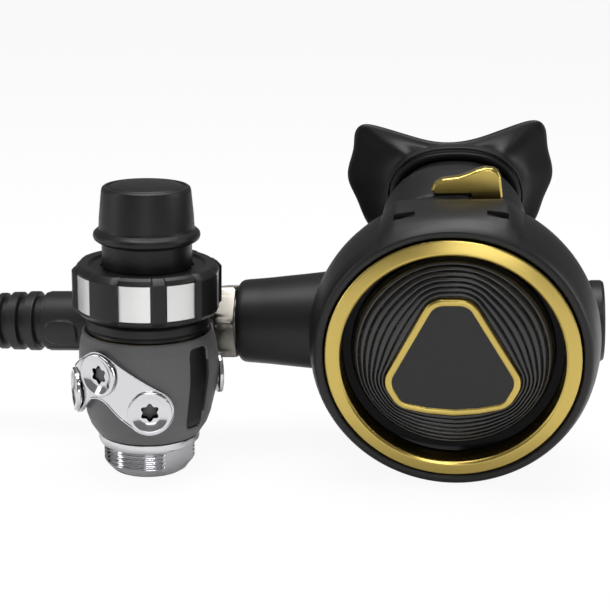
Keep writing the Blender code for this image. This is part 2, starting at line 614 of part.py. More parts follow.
def panel_top(x, depth):
    """Height of the top panel's outer face."""
    ax = abs(x)
    front = math.sqrt(38.5 ** 2 - x * x)
    round_top = math.sqrt((case_radius(depth) + 0.15) ** 2 - x * x)
    flat = PANEL_TOP if ax <= 15.8 else PANEL_TOP - (ax - 15.8) * 1.05
    flat = min(flat, PANEL_TOP - (ax - 17.7) * 1.5) if ax > 17.7 else flat
    blend = min(1.0, max(0.0, (depth - 3.0) / 13.0))
    if depth < 1.5:
        return front
    return round_top * (1 - blend) + max(flat, math.sqrt(42.2 ** 2 - x * x) if ax > 19 else flat) * blend


def panel_section(x, sink):
    """Section of the panel at one x, sunk by a wall allowance under the case surface."""
    under = [math.sqrt((case_radius(d) - sink) ** 2 - x * x) for d in (20.0, 13.0, 7.0, 3.2)]
    lower = list(zip((20.0, 13.0, 7.0, 3.2), under)) + [(0.8, math.sqrt(37.1 ** 2 - x * x))]
    upper = [(d, panel_top(x, d)) for d in (0.8, 3.0, 6.0, 10.0, 15.0, 20.0)]
    return [(x, d, z) for d, z in lower + upper]


def build_case(axes):
    """Main case with inlet neck, mouth tube, panel pocket and exhaust holes."""
    deep = (-math.pi / 2, 0.0, 0.0)
    along = (0.0, math.pi / 2, 0.0)
    at = (0.0, INLET_DEPTH, INLET_Z)
    case = turned("second_stage_case", CASE_OUTER + CASE_SEAT, "black_plastic", steps=38,
                  parent=axes, turn=deep)
    neck = [(0, NECK_END), (11.9, NECK_END), (12.8, NECK_END + 1.2), (13.4, -56.0), (14.8, -43.0), (15.6, -36.0),
            (12.8, -22.0), (12.6, 30.0), (12.1, 36.0), (12.1, 41.0), (0, 41.0)]
    combine(case, turned("neck", neck, None, steps=30, parent=axes, at=at, turn=along), "UNION")
    tube = [oval(-0.4, d, z, a, b) for d, z, a, b in MOUTH]
    combine(case, lofted("tube", tube, None, parent=axes), "UNION")
    seat = turned("seat", rod_profile(13.0, 28.0, 40.5), None, steps=22, parent=axes,
                  at=(0, 0, EXHAUST_Z), turn=deep)
    combine(case, seat, "UNION")
    combine(case, turned("room", CASE_ROOM, None, steps=28, parent=axes, turn=deep))
    bore = turned("bore", rod_profile(BARREL_BORE, NECK_END - 2, 43.0), None, steps=24, parent=axes, at=at, turn=along)
    combine(case, bore)
    breath = [oval(-0.4, d, z, a - 2.2, b - 2.2) for d, z, a, b in MOUTH]
    breath[0] = [(x, 22.0, z - 1.0) for x, y, z in breath[0]]
    breath[-1] = [(x, 70.0, z) for x, y, z in breath[-1]]
    combine(case, lofted("breath", breath, None, parent=axes))
    xs = (-20.4, -17.7, -15.8, -10.0, -5.0, 0.0, 5.0, 10.0, 15.8, 17.7, 20.4)
    pocket = []
    for x in xs:
        section = panel_section(x, 1.6)
        lifted = [(px, d, z) for px, d, z in section[:5]]
        lifted[0] = (x, 20.4, lifted[0][2])
        lifted[4] = (x, 0.9, lifted[4][2] - 0.35)
        pocket.append(lifted + [(x, -1.0, lifted[4][2]), (x, -1.0, 50.0), (x, 20.4, 50.0)])
    combine(case, lofted("pocket", pocket, None, parent=axes))
    notch = blocks("notch", [box((-8.5, 16.2), (20.0, 27.4), (40.3, 52.0))], parent=axes)
    combine(case, notch)
    shaft = turned("shaft", rod_profile(2.3, 30.0, 45.0), None, steps=16, parent=axes, at=(SHAFT_X, SHAFT_DEPTH, 0))
    combine(case, shaft)
    for k in range(4):
        a = math.pi / 4 + math.pi / 2 * k
        hole = turned("hole", rod_profile(3.6, 26.0, 45.0), None, steps=10, parent=axes,
                      at=(6.2 * math.cos(a), 0, EXHAUST_Z + 6.2 * math.sin(a)), turn=deep)
        combine(case, hole)
    pin = turned("pin", rod_profile(1.3, 26.0, 45.0), None, steps=12, parent=axes, at=(0, 0, EXHAUST_Z), turn=deep)
    combine(case, pin)


def build_front(axes):
    """Front ring, purge cover, badge, bezel, diaphragm and its disc."""
    deep = (-math.pi / 2, 0.0, 0.0)
    turned("front_ring", [(RING_IN_R, 0.15), (32.2, 0.0), (35.7, 0.65), (RING_R, 1.0), (RING_R, 3.1), (34.1, 3.1),
                          (34.1, 8.9), (RING_IN_R, 8.9)], "gold", steps=40, parent=axes, turn=deep)
    turned("purge_bezel", [(29.1, 7.9), (31.3, 7.4), (31.3, 8.8), (29.1, 8.8)], "gloss_black", steps=32,
           parent=axes, turn=deep)
    turned("purge_cover", [(0, 3.1), (14, 3.2), (20.4, 3.7), (24.5, 4.8), (27.2, 6.0), (28.3, 6.7),
                                   (DISC_R, 7.3), (DISC_R, 8.3), (27.0, 8.0), (20.0, 5.2),
                                   (3.0, 4.5), (3.0, 6.4), (0, 6.4)], "grey_rubber", steps=36, parent=axes, turn=deep)
    outer = rounded(BADGE, 3.4)
    inner = inset(outer, 1.6)
    floor = inset(outer, 1.9)
    bands = [[(x, 2.8, z) for x, z in outer], [(x, 1.9, z) for x, z in outer], [(x, 1.9, z) for x, z in inner],
             [(x, 2.8, z) for x, z in inner]]
    shell("badge_trim", bands, "gold", parent=axes)
    extruded("badge_panel", floor, 2.2, 2.8, "grey_panel", plane="XZ", parent=axes)
    coil_spring("purge_spring", 5.4, 0.45, 5.3, 9.0, 2, "steel", parent=axes, turn=deep)
    turned("breathing_diaphragm", [(0, 9.7), (21.0, 9.7), (24.0, 10.6), (26.5, 12.2), (28.4, 12.0), (29.6, 10.2),
                                   (30.2, 9.5), (32.3, 9.5), (32.3, 10.4), (30.8, 10.4), (29.0, 12.6),
                                   (26.2, 12.9), (23.4, 11.3), (20.8, 10.4), (0, 10.4)], "silicone", steps=24,
           parent=axes, turn=deep)
    turned("diaphragm_disc", [(0, 10.7), (12.0, 10.7), (12.0, 11.2), (0, 11.2)], "steel", steps=32, parent=axes,
           turn=deep)


def rounded(points, radius, steps=4):
    """Round every corner of a closed outline."""
    out = []
    count = len(points)
    for i in range(count):
        p = Vector(points[i])
        before = (Vector(points[i - 1]) - p).normalized()
        after = (Vector(points[(i + 1) % count]) - p).normalized()
        opening = before.angle(after)
        reach = min(radius / math.tan(opening / 2), 3.6)
        r = reach * math.tan(opening / 2)
        centre = p + (before + after).normalized() * (r / math.sin(opening / 2))
        first, last = p + before * reach - centre, p + after * reach - centre
        for k in range(steps + 1):
            step = first.lerp(last, k / steps).normalized() * r
            out.append(tuple(centre + step))
    return out


def inset(points, distance):
    """Move a closed clockwise outline inwards."""
    out = []
    count = len(points)
    centre = Vector((sum(p[0] for p in points) / count, sum(p[1] for p in points) / count))
    for i in range(count):
        p = Vector(points[i])
        along = (Vector(points[(i + 1) % count]) - Vector(points[i - 1])).normalized()
        normal = Vector((-along.y, along.x))
        if normal.dot(centre - p) < 0:
            normal = -normal
        out.append(tuple(p + normal * distance))
    return out


def build_valve(axes):
    """Inlet orifice, barrel, poppet, springs, balance cap and demand lever."""
    at = (0.0, INLET_DEPTH, INLET_Z)
    along = (0.0, math.pi / 2, 0.0)
    place = {"parent": axes, "at": at, "turn": along}
    barrel = turned("valve_barrel", tube_profile(6.6, 9.2, -61.0, 39.0), "brass", steps=24, **place)
    slot = blocks("slot", [box((-19.0, -9.0), (INLET_DEPTH - 12, INLET_DEPTH - 4.0), (INLET_Z - 4.5, INLET_Z + 4.5))],
                  parent=axes)
    combine(barrel, slot)
    port = blocks("port", [box((0.0, 14.0), (INLET_DEPTH - 3.0, INLET_DEPTH + 3.0), (INLET_Z + 4.0, INLET_Z + 12.0))],
                  parent=axes)
    combine(barrel, port)
    turned("inlet_orifice", [(2.0, -59.0), (6.2, -59.0), (6.2, -50.0), (4.0, -47.5), (3.0, -46.8), (2.0, -46.8)],
           "chrome", steps=20, **place)
    turned("demand_poppet", [(0, -46.2), (4.6, -46.2), (4.6, -43.0), (2.2, -42.0), (2.2, -8.0), (0, -8.0)],
           "black_plastic", steps=16, **place)
    coil_spring("demand_spring", 4.2, 0.5, -6.0, 18.0, 4, "steel", **place)
    turned("balance_chamber", [(2.7, -7.2), (3.3, -7.2), (3.3, 19.0), (6.2, 19.0), (6.2, 30.0), (0, 30.0), (0, 26.0),
                               (2.7, 26.0)], "brass", steps=16, **place)
    turned("barrel_end_cap", [(0, 39.4), (9.0, 39.4), (9.0, 41.3), (12.1, 41.3), (12.1, 43.3), (11.6, BOSS_END),
                              (0, BOSS_END)], "black_plastic", steps=28, **place)
    arm = []
    for x, depth, half in ((-14.0, 31.2, 3.6), (-14.0, 27.0, 3.6), (-13.0, 23.6, 3.4), (-9.0, 19.0, 3.0),
                           (-3.5, 13.6, 2.6), (-1.0, 12.2, 2.6), (2.5, 11.8, 2.6), (4.4, 12.6, 2.6)):
        arm.append([(x, depth, INLET_Z * min(1.0, (depth - 11.0) / 14.0) - half),
                    (x, depth, INLET_Z * min(1.0, (depth - 11.0) / 14.0) + half),
                    (x + 0.7, depth + 0.5, INLET_Z * min(1.0, (depth - 11.0) / 14.0) + half),
                    (x + 0.7, depth + 0.5, INLET_Z * min(1.0, (depth - 11.0) / 14.0) - half)])
    lofted("demand_lever", arm, "steel", parent=axes)


def build_top(axes):
    """Top panel with two slots, venturi lever and vane."""
    xs = (-20.0, -17.7, -15.8, -10.0, -5.0, 0.0, 5.0, 10.0, 15.8, 17.7, 20.0)
    panel = lofted("top_panel", [panel_section(x, 1.25) for x in xs], "black_plastic", parent=axes)
    slots = blocks("slots", [box((side * 12.85 - 2.95, side * 12.85 + 2.95), (8.6, 10.6), (38.6, 46.0))
                             for side in (-1, 1)], parent=axes)
    combine(panel, slots)
    blade = [(-6.0, 43.0), (-5.2, 44.6), (-2.8, 45.7), (1.7, 46.2), (4.6, 47.3), (6.8, 48.3), (9.2, 48.8), (11.4, 48.6),
             (12.9, 47.6), (13.6, 46.0), (14.2, 42.0), (-4.6, 42.0)]
    lever = extruded("venturi_lever", blade, 24.1, 26.7, "gold", plane="XZ", parent=axes)
    stem = turned("stem", rod_profile(2.0, 35.6, 43.0), None, steps=16, parent=axes, at=(SHAFT_X, SHAFT_DEPTH, 0))
    combine(lever, stem, "UNION")
    lofted("venturi_vane", [[(SHAFT_X - 15, 24.8, z), (SHAFT_X + 2, 24.8, z), (SHAFT_X + 2, 26.0, z),
                             (SHAFT_X - 15, 26.0, z)] for z in (30.0, 35.2)], "black_plastic", parent=axes)


def build_mouthpiece(axes):
    """Silicone mouthpiece with its wide lip shield and bite tabs, and the clamp that holds it."""
    z0 = 30.0
    shield = [(-31.5, 42.0), (-31.8, 47.5), (-29.0, 50.2), (-25.0, 49.4), (-16.0, 46.4), (-9.0, 44.0), (-2.4, 43.2),
              (4.4, 44.0), (11.0, 46.2), (20.0, 49.6), (24.5, 50.4), (27.2, 47.6), (27.0, 41.5), (29.0, 36.0),
              (29.0, 31.0), (26.2, 26.0), (24.6, 19.0), (21.0, 13.6), (14.0, 11.6), (6.0, 12.4), (-2.4, 13.4),
              (-11.0, 12.4), (-19.0, 11.6), (-26.0, 13.8), (-29.6, 19.0), (-31.4, 26.0), (-34.2, 31.0), (-34.2, 36.0)]
    centre = Vector((-2.4, z0))

    def matched(a, b, depth, dz=0.0):
        """Oval with one point on every ray from the centre to a shield corner."""
        out = []
        for x, z in shield:
            t = math.atan2((z - centre.y) / b, (x - centre.x) / a)
            c, s = math.cos(t), math.sin(t)
            out.append((centre.x + 2.0 * min(1.0, max(0.0, (73.0 - depth) / 6.0)) + a * math.copysign(abs(c) ** 0.87, c),
                        depth, z0 + dz + b * math.copysign(abs(s) ** 0.87, s)))
        return out

    def rim(depth, grow):
        return [(centre.x + (x - centre.x) * grow, depth, z0 + (z - z0) * grow) for x, z in shield]
    loops = [matched(19.6, 15.2, 54.0), matched(19.4, 15.0, 61.0), matched(21.0, 15.6, 64.0), rim(67.5, 0.80),
             rim(69.2, 0.98), rim(70.4, 1.0), rim(71.4, 0.98), rim(72.0, 0.80), matched(18.5, 11.5, 73.5),
             matched(18.0, 10.5, 79.0), matched(16.6, 9.2, 79.0), matched(16.6, 10.2, 72.0),
             matched(17.2, 12.8, 67.0), matched(17.4, 13.0, 54.0)]
    mouthpiece = shell("mouthpiece", loops, "silicone", parent=axes)
    for side in (-1, 1):
        x = centre.x + side * 21.0
        tab = [oval(x, d, z0, a, b, 16) for d, a, b in ((69.5, 3.2, 7.0), (76.0, 3.2, 7.0), (83.0, 3.4, 7.4),
                                                        (85.0, 3.2, 6.6))]
        combine(mouthpiece, lofted("tab", tab, None, parent=axes), "UNION")
    band = [[oval(-0.4, d, z0, a, b) for a, b in ((20.9, 16.5), (19.95, 15.55))] for d in (55.5, 59.0)]
    tie = shell("mouthpiece_clamp", [band[0][0], band[1][0], band[1][1], band[0][1]], "black_plastic", parent=axes)
    head = blocks("head", [box((-3.4, 3.4), (54.8, 59.8), (11.6, 14.2))], parent=axes)
    combine(tie, head, "UNION")


def build_exhaust(axes):
    """Mushroom exhaust valve and the tee that turns the bubbles aside."""
    deep = (-math.pi / 2, 0.0, 0.0)
    turned("exhaust_valve", [(0, 37.0), (0.9, 37.0), (0.9, 40.9), (11.0, 40.9), (11.8, 41.2), (11.8, 41.6),
                             (0, 41.8)], "silicone", steps=20, parent=axes, at=(0, 0, EXHAUST_Z), turn=deep)

    def ground(x, depth):
        return -(SECOND_ORIGIN[2] + 0.1219 * depth + 0.0554 * x) / 0.991 + 0.15

    def section(x, front, back, top, grow):
        low_front, low_back = ground(x, front) + grow, ground(x, back - 4.0) + grow
        return [(x, front + grow, top - grow), (x, back - 3.0, top - grow), (x, back - grow, top - 4.0),
                (x, back - grow, low_back + 3.0), (x, back - 4.0, low_back), (x, front + grow, low_front)]
    outer = [section(x, 41.0, back, top, 0.0) for x, back, top in ((-31, 52.0, -22.0), (-24, 55.0, -17.5),
                                                                   (-12, 57.0, -16.4), (12, 57.0, -16.4),
                                                                   (24, 55.0, -17.5), (31, 52.0, -22.0))]
    inner = [section(x, 41.0, back, top, 1.8) for x, back, top in ((-33, 52.0, -22.0), (-24, 55.0, -17.5),
                                                                   (-12, 57.0, -16.4), (12, 57.0, -16.4),
                                                                   (24, 55.0, -17.5), (33, 52.0, -22.0))]
    tee = lofted("exhaust_tee", outer, "black_plastic", parent=axes)
    combine(tee, lofted("duct", inner, None, parent=axes))
    mouth = turned("mouth", rod_profile(12.3, 38.0, 46.0), None, steps=28, parent=axes, at=(0, 0, EXHAUST_Z), turn=deep)
    combine(tee, mouth)


build_retainer()
build_first_internals()
build_body()
build_cover()
build_port_plate()
build_plugs()
build_grip()
build_inlet()
second_axes = bpy.data.objects.new("second_stage_axes", None)
bpy.context.scene.collection.objects.link(second_axes)
second_axes.location = Vector(SECOND_ORIGIN) * MM
second_axes.rotation_mode = "YXZ"
second_axes.rotation_euler = [math.radians(v) for v in SECOND_TURN]
build_hose(second_axes)
build_case(second_axes)
build_front(second_axes)
build_valve(second_axes)
build_top(second_axes)
build_mouthpiece(second_axes)
build_exhaust(second_axes)
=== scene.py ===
"""Looks of a scuba regulator set: an upright first stage, its low pressure hose and its second stage."""

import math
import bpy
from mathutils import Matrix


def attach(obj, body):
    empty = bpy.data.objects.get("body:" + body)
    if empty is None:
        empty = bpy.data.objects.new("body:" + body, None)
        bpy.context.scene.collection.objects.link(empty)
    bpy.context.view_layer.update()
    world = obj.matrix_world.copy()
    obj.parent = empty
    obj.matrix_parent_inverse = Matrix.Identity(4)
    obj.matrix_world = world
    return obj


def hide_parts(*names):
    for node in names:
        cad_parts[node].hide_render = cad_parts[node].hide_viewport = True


bl_info = {
    "name": "Scuba Regulator Set",
    "version": (1, 0, 0),
    "blender": (4, 5, 0),
    "location": "3D View > Sidebar > Regulator",
    "description": "Builds the finish and fine shapes of a scuba regulator set round its solids",
    "category": "Object",
}

import bmesh
import bpy
import numpy as np
from bpy.props import FloatProperty, FloatVectorProperty, PointerProperty
from mathutils import Euler, Matrix, Vector

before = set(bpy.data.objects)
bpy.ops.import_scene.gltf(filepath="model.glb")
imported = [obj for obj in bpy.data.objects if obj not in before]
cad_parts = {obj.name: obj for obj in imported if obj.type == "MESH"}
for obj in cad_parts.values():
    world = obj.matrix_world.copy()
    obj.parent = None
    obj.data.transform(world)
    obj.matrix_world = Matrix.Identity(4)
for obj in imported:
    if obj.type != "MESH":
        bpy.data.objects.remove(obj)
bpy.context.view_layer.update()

MM = 0.001

# ------------------------------------------------------------ sizes shared with the solids, in millimetres
COVER_PROFILE = [(15.4, 11.7), (17.3, 14.6), (18.3, 17.5), (19.2, 23.3), (20.1, 29.0),
                 (20.3, 31.5), (20.2, 36.0), (19.9, 39.0), (19.1, 42.4), (18.3, 43.0)]
RETAINER_R, FLAT_AT, FLAT_ANGLE = 13.5, 11.1, 57.0
LOBE_R, RIB_R = 22.0, 21.7
HUB_R, HUB_LOW, HUB_HIGH = 20.4, 49.9, 60.3
RIB_CENTRE, RIB_HALF = 15.0, 6.5
NOSE_R, NOSE_TOP = 11.4, 79.6
PLUG_FACE = 22.2
PLATE_OUT, PLATE_HALF = 21.25, 6.9
PLATE_SCALE = math.radians(1.0) * 21.0
PLUGS = {
    "port_plug_front": (7.0, 23.75),
    "port_plug_front_left": (-35.0, 33.5),
    "port_plug_left": (-73.0, 25.5),
    "port_plug_rear_left": (-135.0, 31.0),
    "port_plug_rear_right": (103.0, 28.0),
}
PLATED_PLUGS = ("port_plug_left", "port_plug_front_left", "port_plug_front")
HOSE_PORT_Z = 19.5
CASE_OUTER = [(36.4, 1.4), (37.4, 0.7), (38.6, 0.8), (39.6, 2.5), (40.5, 5.0), (41.3, 9.0), (41.9, 13.0),
              (42.1, 17.0), (41.7, 21.0), (40.9, 25.0), (39.8, 29.0), (38.0, 32.5), (35.0, 35.5),
              (31.0, 37.6), (26.0, 38.8), (14.0, 39.6), (0.0, 39.8)]
INLET_DEPTH, INLET_Z = 36.5, -2.6
NECK_END, BOSS_END = -66.3, 43.8
NUT_START, NUT_END, NUT_CORNER, NUT_PHASE = -72.3, -66.8, 12.5, 11.1
SLEEVE_START, SLEEVE_LENGTH, SLEEVE_BORE = -148.0, 40.0, 6.9
PANEL_TOP, PANEL_HALF = 41.6, 20.0
SLOT_X, SLOT_HALF = 12.85, 2.95
MOUTH_X, EXHAUST_Z = -0.4, -27.5
MOUTH = [(26.0, 24.5, 21.4, 17.0), (40.0, 27.0, 21.3, 17.5), (45.0, 28.6, 19.6, 15.6),
         (50.0, 30.0, 17.0, 12.6), (66.0, 30.0, 16.9, 12.5)]
BADGE = [(-5.9, 18.3), (5.9, 18.3), (20.2, -7.3), (15.8, -15.2), (7.5, -17.0), (0.0, -17.6),
         (-7.5, -17.0), (-15.8, -15.2), (-20.2, -7.3)]

SECOND_ORIGIN = Vector((87.21, -20.83, 40.01)) * MM
SECOND_TURN = Euler([math.radians(v) for v in (7.0, -3.2, -7.0)], "YXZ")
SECOND = Matrix.Translation(SECOND_ORIGIN) @ SECOND_TURN.to_matrix().to_4x4()
INWARDS = Matrix.Rotation(-math.pi / 2, 4, "X")
DEEP = SECOND @ INWARDS
EXHAUST = Matrix.Translation((0, 0, EXHAUST_Z * MM)) @ INWARDS
BARREL = Matrix.Translation(Vector((0, INLET_DEPTH, INLET_Z)) * MM) @ Matrix.Rotation(math.pi / 2, 4, "Y")
ALONG = SECOND @ BARREL
FIRST = Matrix.Identity(4)


# ------------------------------------------------------------ colours
def linear(code):
    """Linear RGBA of an sRGB hex colour."""
    parts = [int(code[i:i + 2], 16) / 255 for i in (1, 3, 5)]
    return [p / 12.92 if p <= 0.04045 else ((p + 0.055) / 1.055) ** 2.4 for p in parts] + [1.0]


class RegulatorSizes(bpy.types.PropertyGroup):
    """Sizes that a user may change without touching the solids."""

    hose_radius: FloatProperty(name="Hose radius", description="Outer radius of the low pressure hose",
                               default=6.25 * MM, unit="LENGTH")
    ridge_height: FloatProperty(name="Ridge height", description="Height of the ridges of the purge cover",
                                default=0.7 * MM, unit="LENGTH")
    thread_pitch: FloatProperty(name="Thread pitch", description="Pitch of the cylinder thread on the nose",
                                default=1.81 * MM, unit="LENGTH")
    floor_width: FloatProperty(name="Floor width", description="Side of the square floor", default=40.0,
                               unit="LENGTH")


class RegulatorColours(bpy.types.PropertyGroup):
    """Colours of the finishes."""

    black_nylon: FloatVectorProperty(name="Black nylon", description="Moulded housings, grip and cap",
                                     subtype="COLOR", default=linear("#0e0e0f")[:3])
    cover_grey: FloatVectorProperty(name="Cover grey", description="Elastomer cover of the first stage",
                                    subtype="COLOR", default=linear("#545354")[:3])
    purge_grey: FloatVectorProperty(name="Purge cover grey", description="Ridged purge cover",
                                    subtype="COLOR", default=linear("#1a1a1c")[:3])
    gold: FloatVectorProperty(name="Gold", description="Gold anodised ring, trim and lever",
                              subtype="COLOR", default=linear("#b8a25a")[:3])
    silicone: FloatVectorProperty(name="Silicone", description="Mouthpiece", subtype="COLOR",
                                  default=linear("#080809")[:3])
    backdrop: FloatVectorProperty(name="Backdrop", description="Floor and surroundings", subtype="COLOR",
                                  default=(0.93, 0.93, 0.93))


def sizes():
    """The size settings of the scene."""
    return bpy.context.scene.regulator_sizes


def colours():
    """The colour settings of the scene."""
    return bpy.context.scene.regulator_colours


# ------------------------------------------------------------ nodes and materials
def add_node(material, kind, links=None, **settings):
    """Add a node, set its fields or input values and link inputs from sockets."""
    node = material.node_tree.nodes.new(kind)
    for name, value in settings.items():
        if hasattr(node, name):
            setattr(node, name, value)
        else:
            node.inputs[name.replace("_", " ")].default_value = value
    for name, socket in (links or {}).items():
        material.node_tree.links.new(socket, node.inputs[name])
    return node


def principled(name, colour, **values):
    """New material whose Principled shader has the given socket values."""
    material = bpy.data.materials.new(name)
    material.use_nodes = True
    shader = material.node_tree.nodes["Principled BSDF"]
    shader.inputs["Base Color"].default_value = (*colour[:3], 1.0)
    for key, value in values.items():
        shader.inputs[key.replace("_", " ")].default_value = value
    return material, shader


def join(material, output, target, name):
    """Link one output socket to a named input."""
    material.node_tree.links.new(output, target.inputs[name])


def grained(material, shader, grain_mm, depth_mm, roughness, spread, stretch=(1, 1, 1)):
    """Surface grain as bump, and a roughness that varies slowly over the piece."""
    place = add_node(material, "ShaderNodeTexCoord")
    mapping = add_node(material, "ShaderNodeMapping", {"Vector": place.outputs["Object"]}, Scale=stretch)
    grain = add_node(material, "ShaderNodeTexNoise", {"Vector": mapping.outputs["Vector"]},
                     Scale=1000.0 / grain_mm, Detail=3.0, Roughness=0.6)
    bump = add_node(material, "ShaderNodeBump", {"Height": grain.outputs["Fac"]}, Strength=0.6,
                    Distance=depth_mm * MM)
    join(material, bump.outputs["Normal"], shader, "Normal")
    # the slow drift has patches of about 14 mm
    slow = add_node(material, "ShaderNodeTexNoise", {"Vector": place.outputs["Object"]}, Scale=70.0,
                    Detail=4.0)
    level = add_node(material, "ShaderNodeMapRange", {"Value": slow.outputs["Fac"]}, From_Min=0.3,
                     From_Max=0.7, To_Min=roughness - spread, To_Max=roughness + spread)
    join(material, level.outputs["Result"], shader, "Roughness")
    return slow


def tinted(material, shader, slow, colour, lift):
    """Let the colour drift a little between two close tones."""
    low = [c * (1 - lift) for c in colour[:3]]
    high = [min(1.0, c * (1 + lift)) for c in colour[:3]]
    mix = add_node(material, "ShaderNodeMix", data_type="RGBA")
    join(material, slow.outputs["Fac"], mix, "Factor")
    for socket in mix.inputs:
        if socket.type == "RGBA":
            socket.default_value = (*(low if socket.name == "A" else high), 1.0)
    colour_out = [s for s in mix.outputs if s.type == "RGBA"][0]
    join(material, colour_out, shader, "Base Color")


FINISHES = {}


def finish(name):
    """Material by name, made on first use."""
    if name not in FINISHES:
        FINISHES[name] = MAKERS[name]()
    return FINISHES[name]


def glass_filled_nylon():
    """Nylon moulded in a spark-eroded tool: near-black, with fine grain and broad soft highlights."""
    colour = colours().black_nylon
    material, shader = principled("glass_filled_nylon_spark_textured", colour, IOR=1.53,
                                  Specular_IOR_Level=0.3)
    # the grain is about 0.15 mm; drawn at 0.4 mm so that it shows
    slow = grained(material, shader, 0.4, 0.045, 0.42, 0.04)
    tinted(material, shader, slow, colour, 0.10)
    return material


def polished_abs():
    """ABS moulded in a polished tool, black; its colour and reflection are turned down further as painted
    shade, so that its gap stays the deepest black of the part with hardly a highlight.
    """
    material, shader = principled("abs_black_with_painted_gap_shade", linear("#020203"), IOR=1.54, Specular_IOR_Level=0.07)
    # slow waves of about 6 mm are left by shrinkage
    grained(material, shader, 6.0, 0.004, 0.10, 0.02)
    return material


def purge_cover_abs():
    """Graphite ABS moulded in a satin tool: ridge crests shine softly and grooves stay black."""
    colour = colours().purge_grey
    material, shader = principled("abs_graphite_satin", colour, IOR=1.54, Specular_IOR_Level=0.5)
    # the grain is about 0.1 mm; drawn at 0.35 mm
    slow = grained(material, shader, 0.35, 0.006, 0.25, 0.03)
    tinted(material, shader, slow, colour, 0.08)
    return material


def badge_abs():
    """Painted ABS field of the badge: an even satin black that sets off the gold trim."""
    material, shader = principled("abs_painted_dark_grey", linear("#121214"), IOR=1.5,
                                  Specular_IOR_Level=0.35)
    # paint orange peel is about 0.3 mm
    grained(material, shader, 0.3, 0.006, 0.3, 0.03)
    return material


def santoprene():
    """Elastomer moulded over the body: matt mid grey with a faint dusty bloom."""
    colour = colours().cover_grey
    material, shader = principled("santoprene_overmoulded", colour, IOR=1.48, Specular_IOR_Level=0.4,
                                  Sheen_Weight=0.05, Sheen_Roughness=0.5)
    # the texture is about 0.2 mm; drawn at 0.45 mm
    slow = grained(material, shader, 0.45, 0.045, 0.50, 0.05)
    tinted(material, shader, slow, colour, 0.10)
    return material


def label_field_rubber():
    """The same elastomer, smoother and darker; the dark tone is partly the field's own and partly painted
    shade, so that the bare field reads as a sunk window.
    """
    material, shader = principled("santoprene_dark_field_and_painted_shade", linear("#0d0d0e"), IOR=1.48,
                                  Specular_IOR_Level=0.25)
    # the texture is about 0.2 mm; drawn at 0.5 mm
    grained(material, shader, 0.5, 0.02, 0.42, 0.03)
    return material


def hose_rubber():
    """Extruded EPDM: matt black, with the faint unevenness that the braid below leaves."""
    material, shader = principled("epdm_extruded", linear("#111112"), IOR=1.52, Specular_IOR_Level=0.32)
    # braid marks are about 0.6 mm
    grained(material, shader, 0.6, 0.05, 0.55, 0.05)
    return material


def sleeve_rubber():
    """Moulded nitrile rubber: satin black, a little brighter on its ribs than the hose."""
    colour = linear("#131314")
    material, shader = principled("nitrile_moulded", colour, IOR=1.52, Specular_IOR_Level=0.36)
    # the grain is about 0.2 mm; drawn at 0.5 mm
    slow = grained(material, shader, 0.5, 0.03, 0.44, 0.04)
    tinted(material, shader, slow, colour, 0.08)
    return material


def mouth_silicone():
    """Moulded silicone: deep black and slightly waxy, with a soft sheen along its rims."""
    colour = colours().silicone
    material, shader = principled("silicone_moulded", colour, IOR=1.41, Specular_IOR_Level=0.33,
                                  Sheen_Weight=0.03, Sheen_Roughness=0.4)
    # flow marks are about 0.8 mm
    slow = grained(material, shader, 0.8, 0.02, 0.42, 0.04)
    tinted(material, shader, slow, colour, 0.12)
    return material


def chrome_plated_brass():
    """Brass polished and chrome plated: mirror-like, cool grey, with sharp rims of light."""
    material, shader = principled("brass_chrome_plated", linear("#c4c4c7"), Metallic=1.0)
    # polishing leaves swirls of about 0.1 mm; drawn at 1 mm
    grained(material, shader, 1.0, 0.0012, 0.12, 0.03)
    return material


def socket_painted_shade():
    """Painted shade in the deep socket: a dull dark metal, so that it reads as a hole."""
    material, shader = principled("socket_painted_shade_metal", linear("#24221f"), Metallic=1.0)
    # broaching marks are about 0.1 mm; drawn at 0.4 mm
    grained(material, shader, 0.4, 0.004, 0.5, 0.04)
    return material


def satin_nickel():
    """Turned brass with satin nickel plating: warm grey, drawn out into fine rings round the axis."""
    material, shader = principled("brass_satin_nickel_turned", linear("#938f88"), Metallic=1.0)
    # tool marks are about 0.05 mm apart; drawn at 0.35 mm
    grained(material, shader, 0.35, 0.003, 0.27, 0.03, stretch=(0.12, 0.12, 1.0))
    return material


def silver_plate():
    """Bead-blasted metal between the grip's ribs: pale, even and without a sharp highlight."""
    material, shader = principled("brass_nickel_bead_blasted", linear("#d9d9d8"), Metallic=1.0)
    # bead marks are about 0.1 mm; drawn at 0.3 mm
    grained(material, shader, 0.3, 0.02, 0.42, 0.04)
    return material


def gold_anodised():
    """Turned aluminium, gold anodised: satin, with one broad warm highlight round the ring."""
    colour = colours().gold
    material, shader = principled("aluminium_gold_anodised_turned", colour, Metallic=1.0)
    # turning marks are about 0.05 mm; drawn at 0.4 mm
    slow = grained(material, shader, 0.4, 0.002, 0.26, 0.015)
    tinted(material, shader, slow, colour, 0.03)
    return material


def machined_brass():
    """Bare machined brass of the inner pieces: yellow, with streaks round the axis."""
    material, shader = principled("brass_machined", linear("#b8954f"), Metallic=1.0)
    # tool marks are about 0.05 mm apart; drawn at 0.4 mm
    grained(material, shader, 0.4, 0.01, 0.28, 0.05, stretch=(0.15, 0.15, 1.0))
    return material


def spring_steel():
    """Drawn stainless wire and pressed stainless parts: bright grey with fine die lines."""
    material, shader = principled("stainless_steel_drawn", linear("#9c9c9e"), Metallic=1.0)
    # die lines are about 0.05 mm; drawn at 0.5 mm
    grained(material, shader, 0.5, 0.008, 0.24, 0.04)
    return material


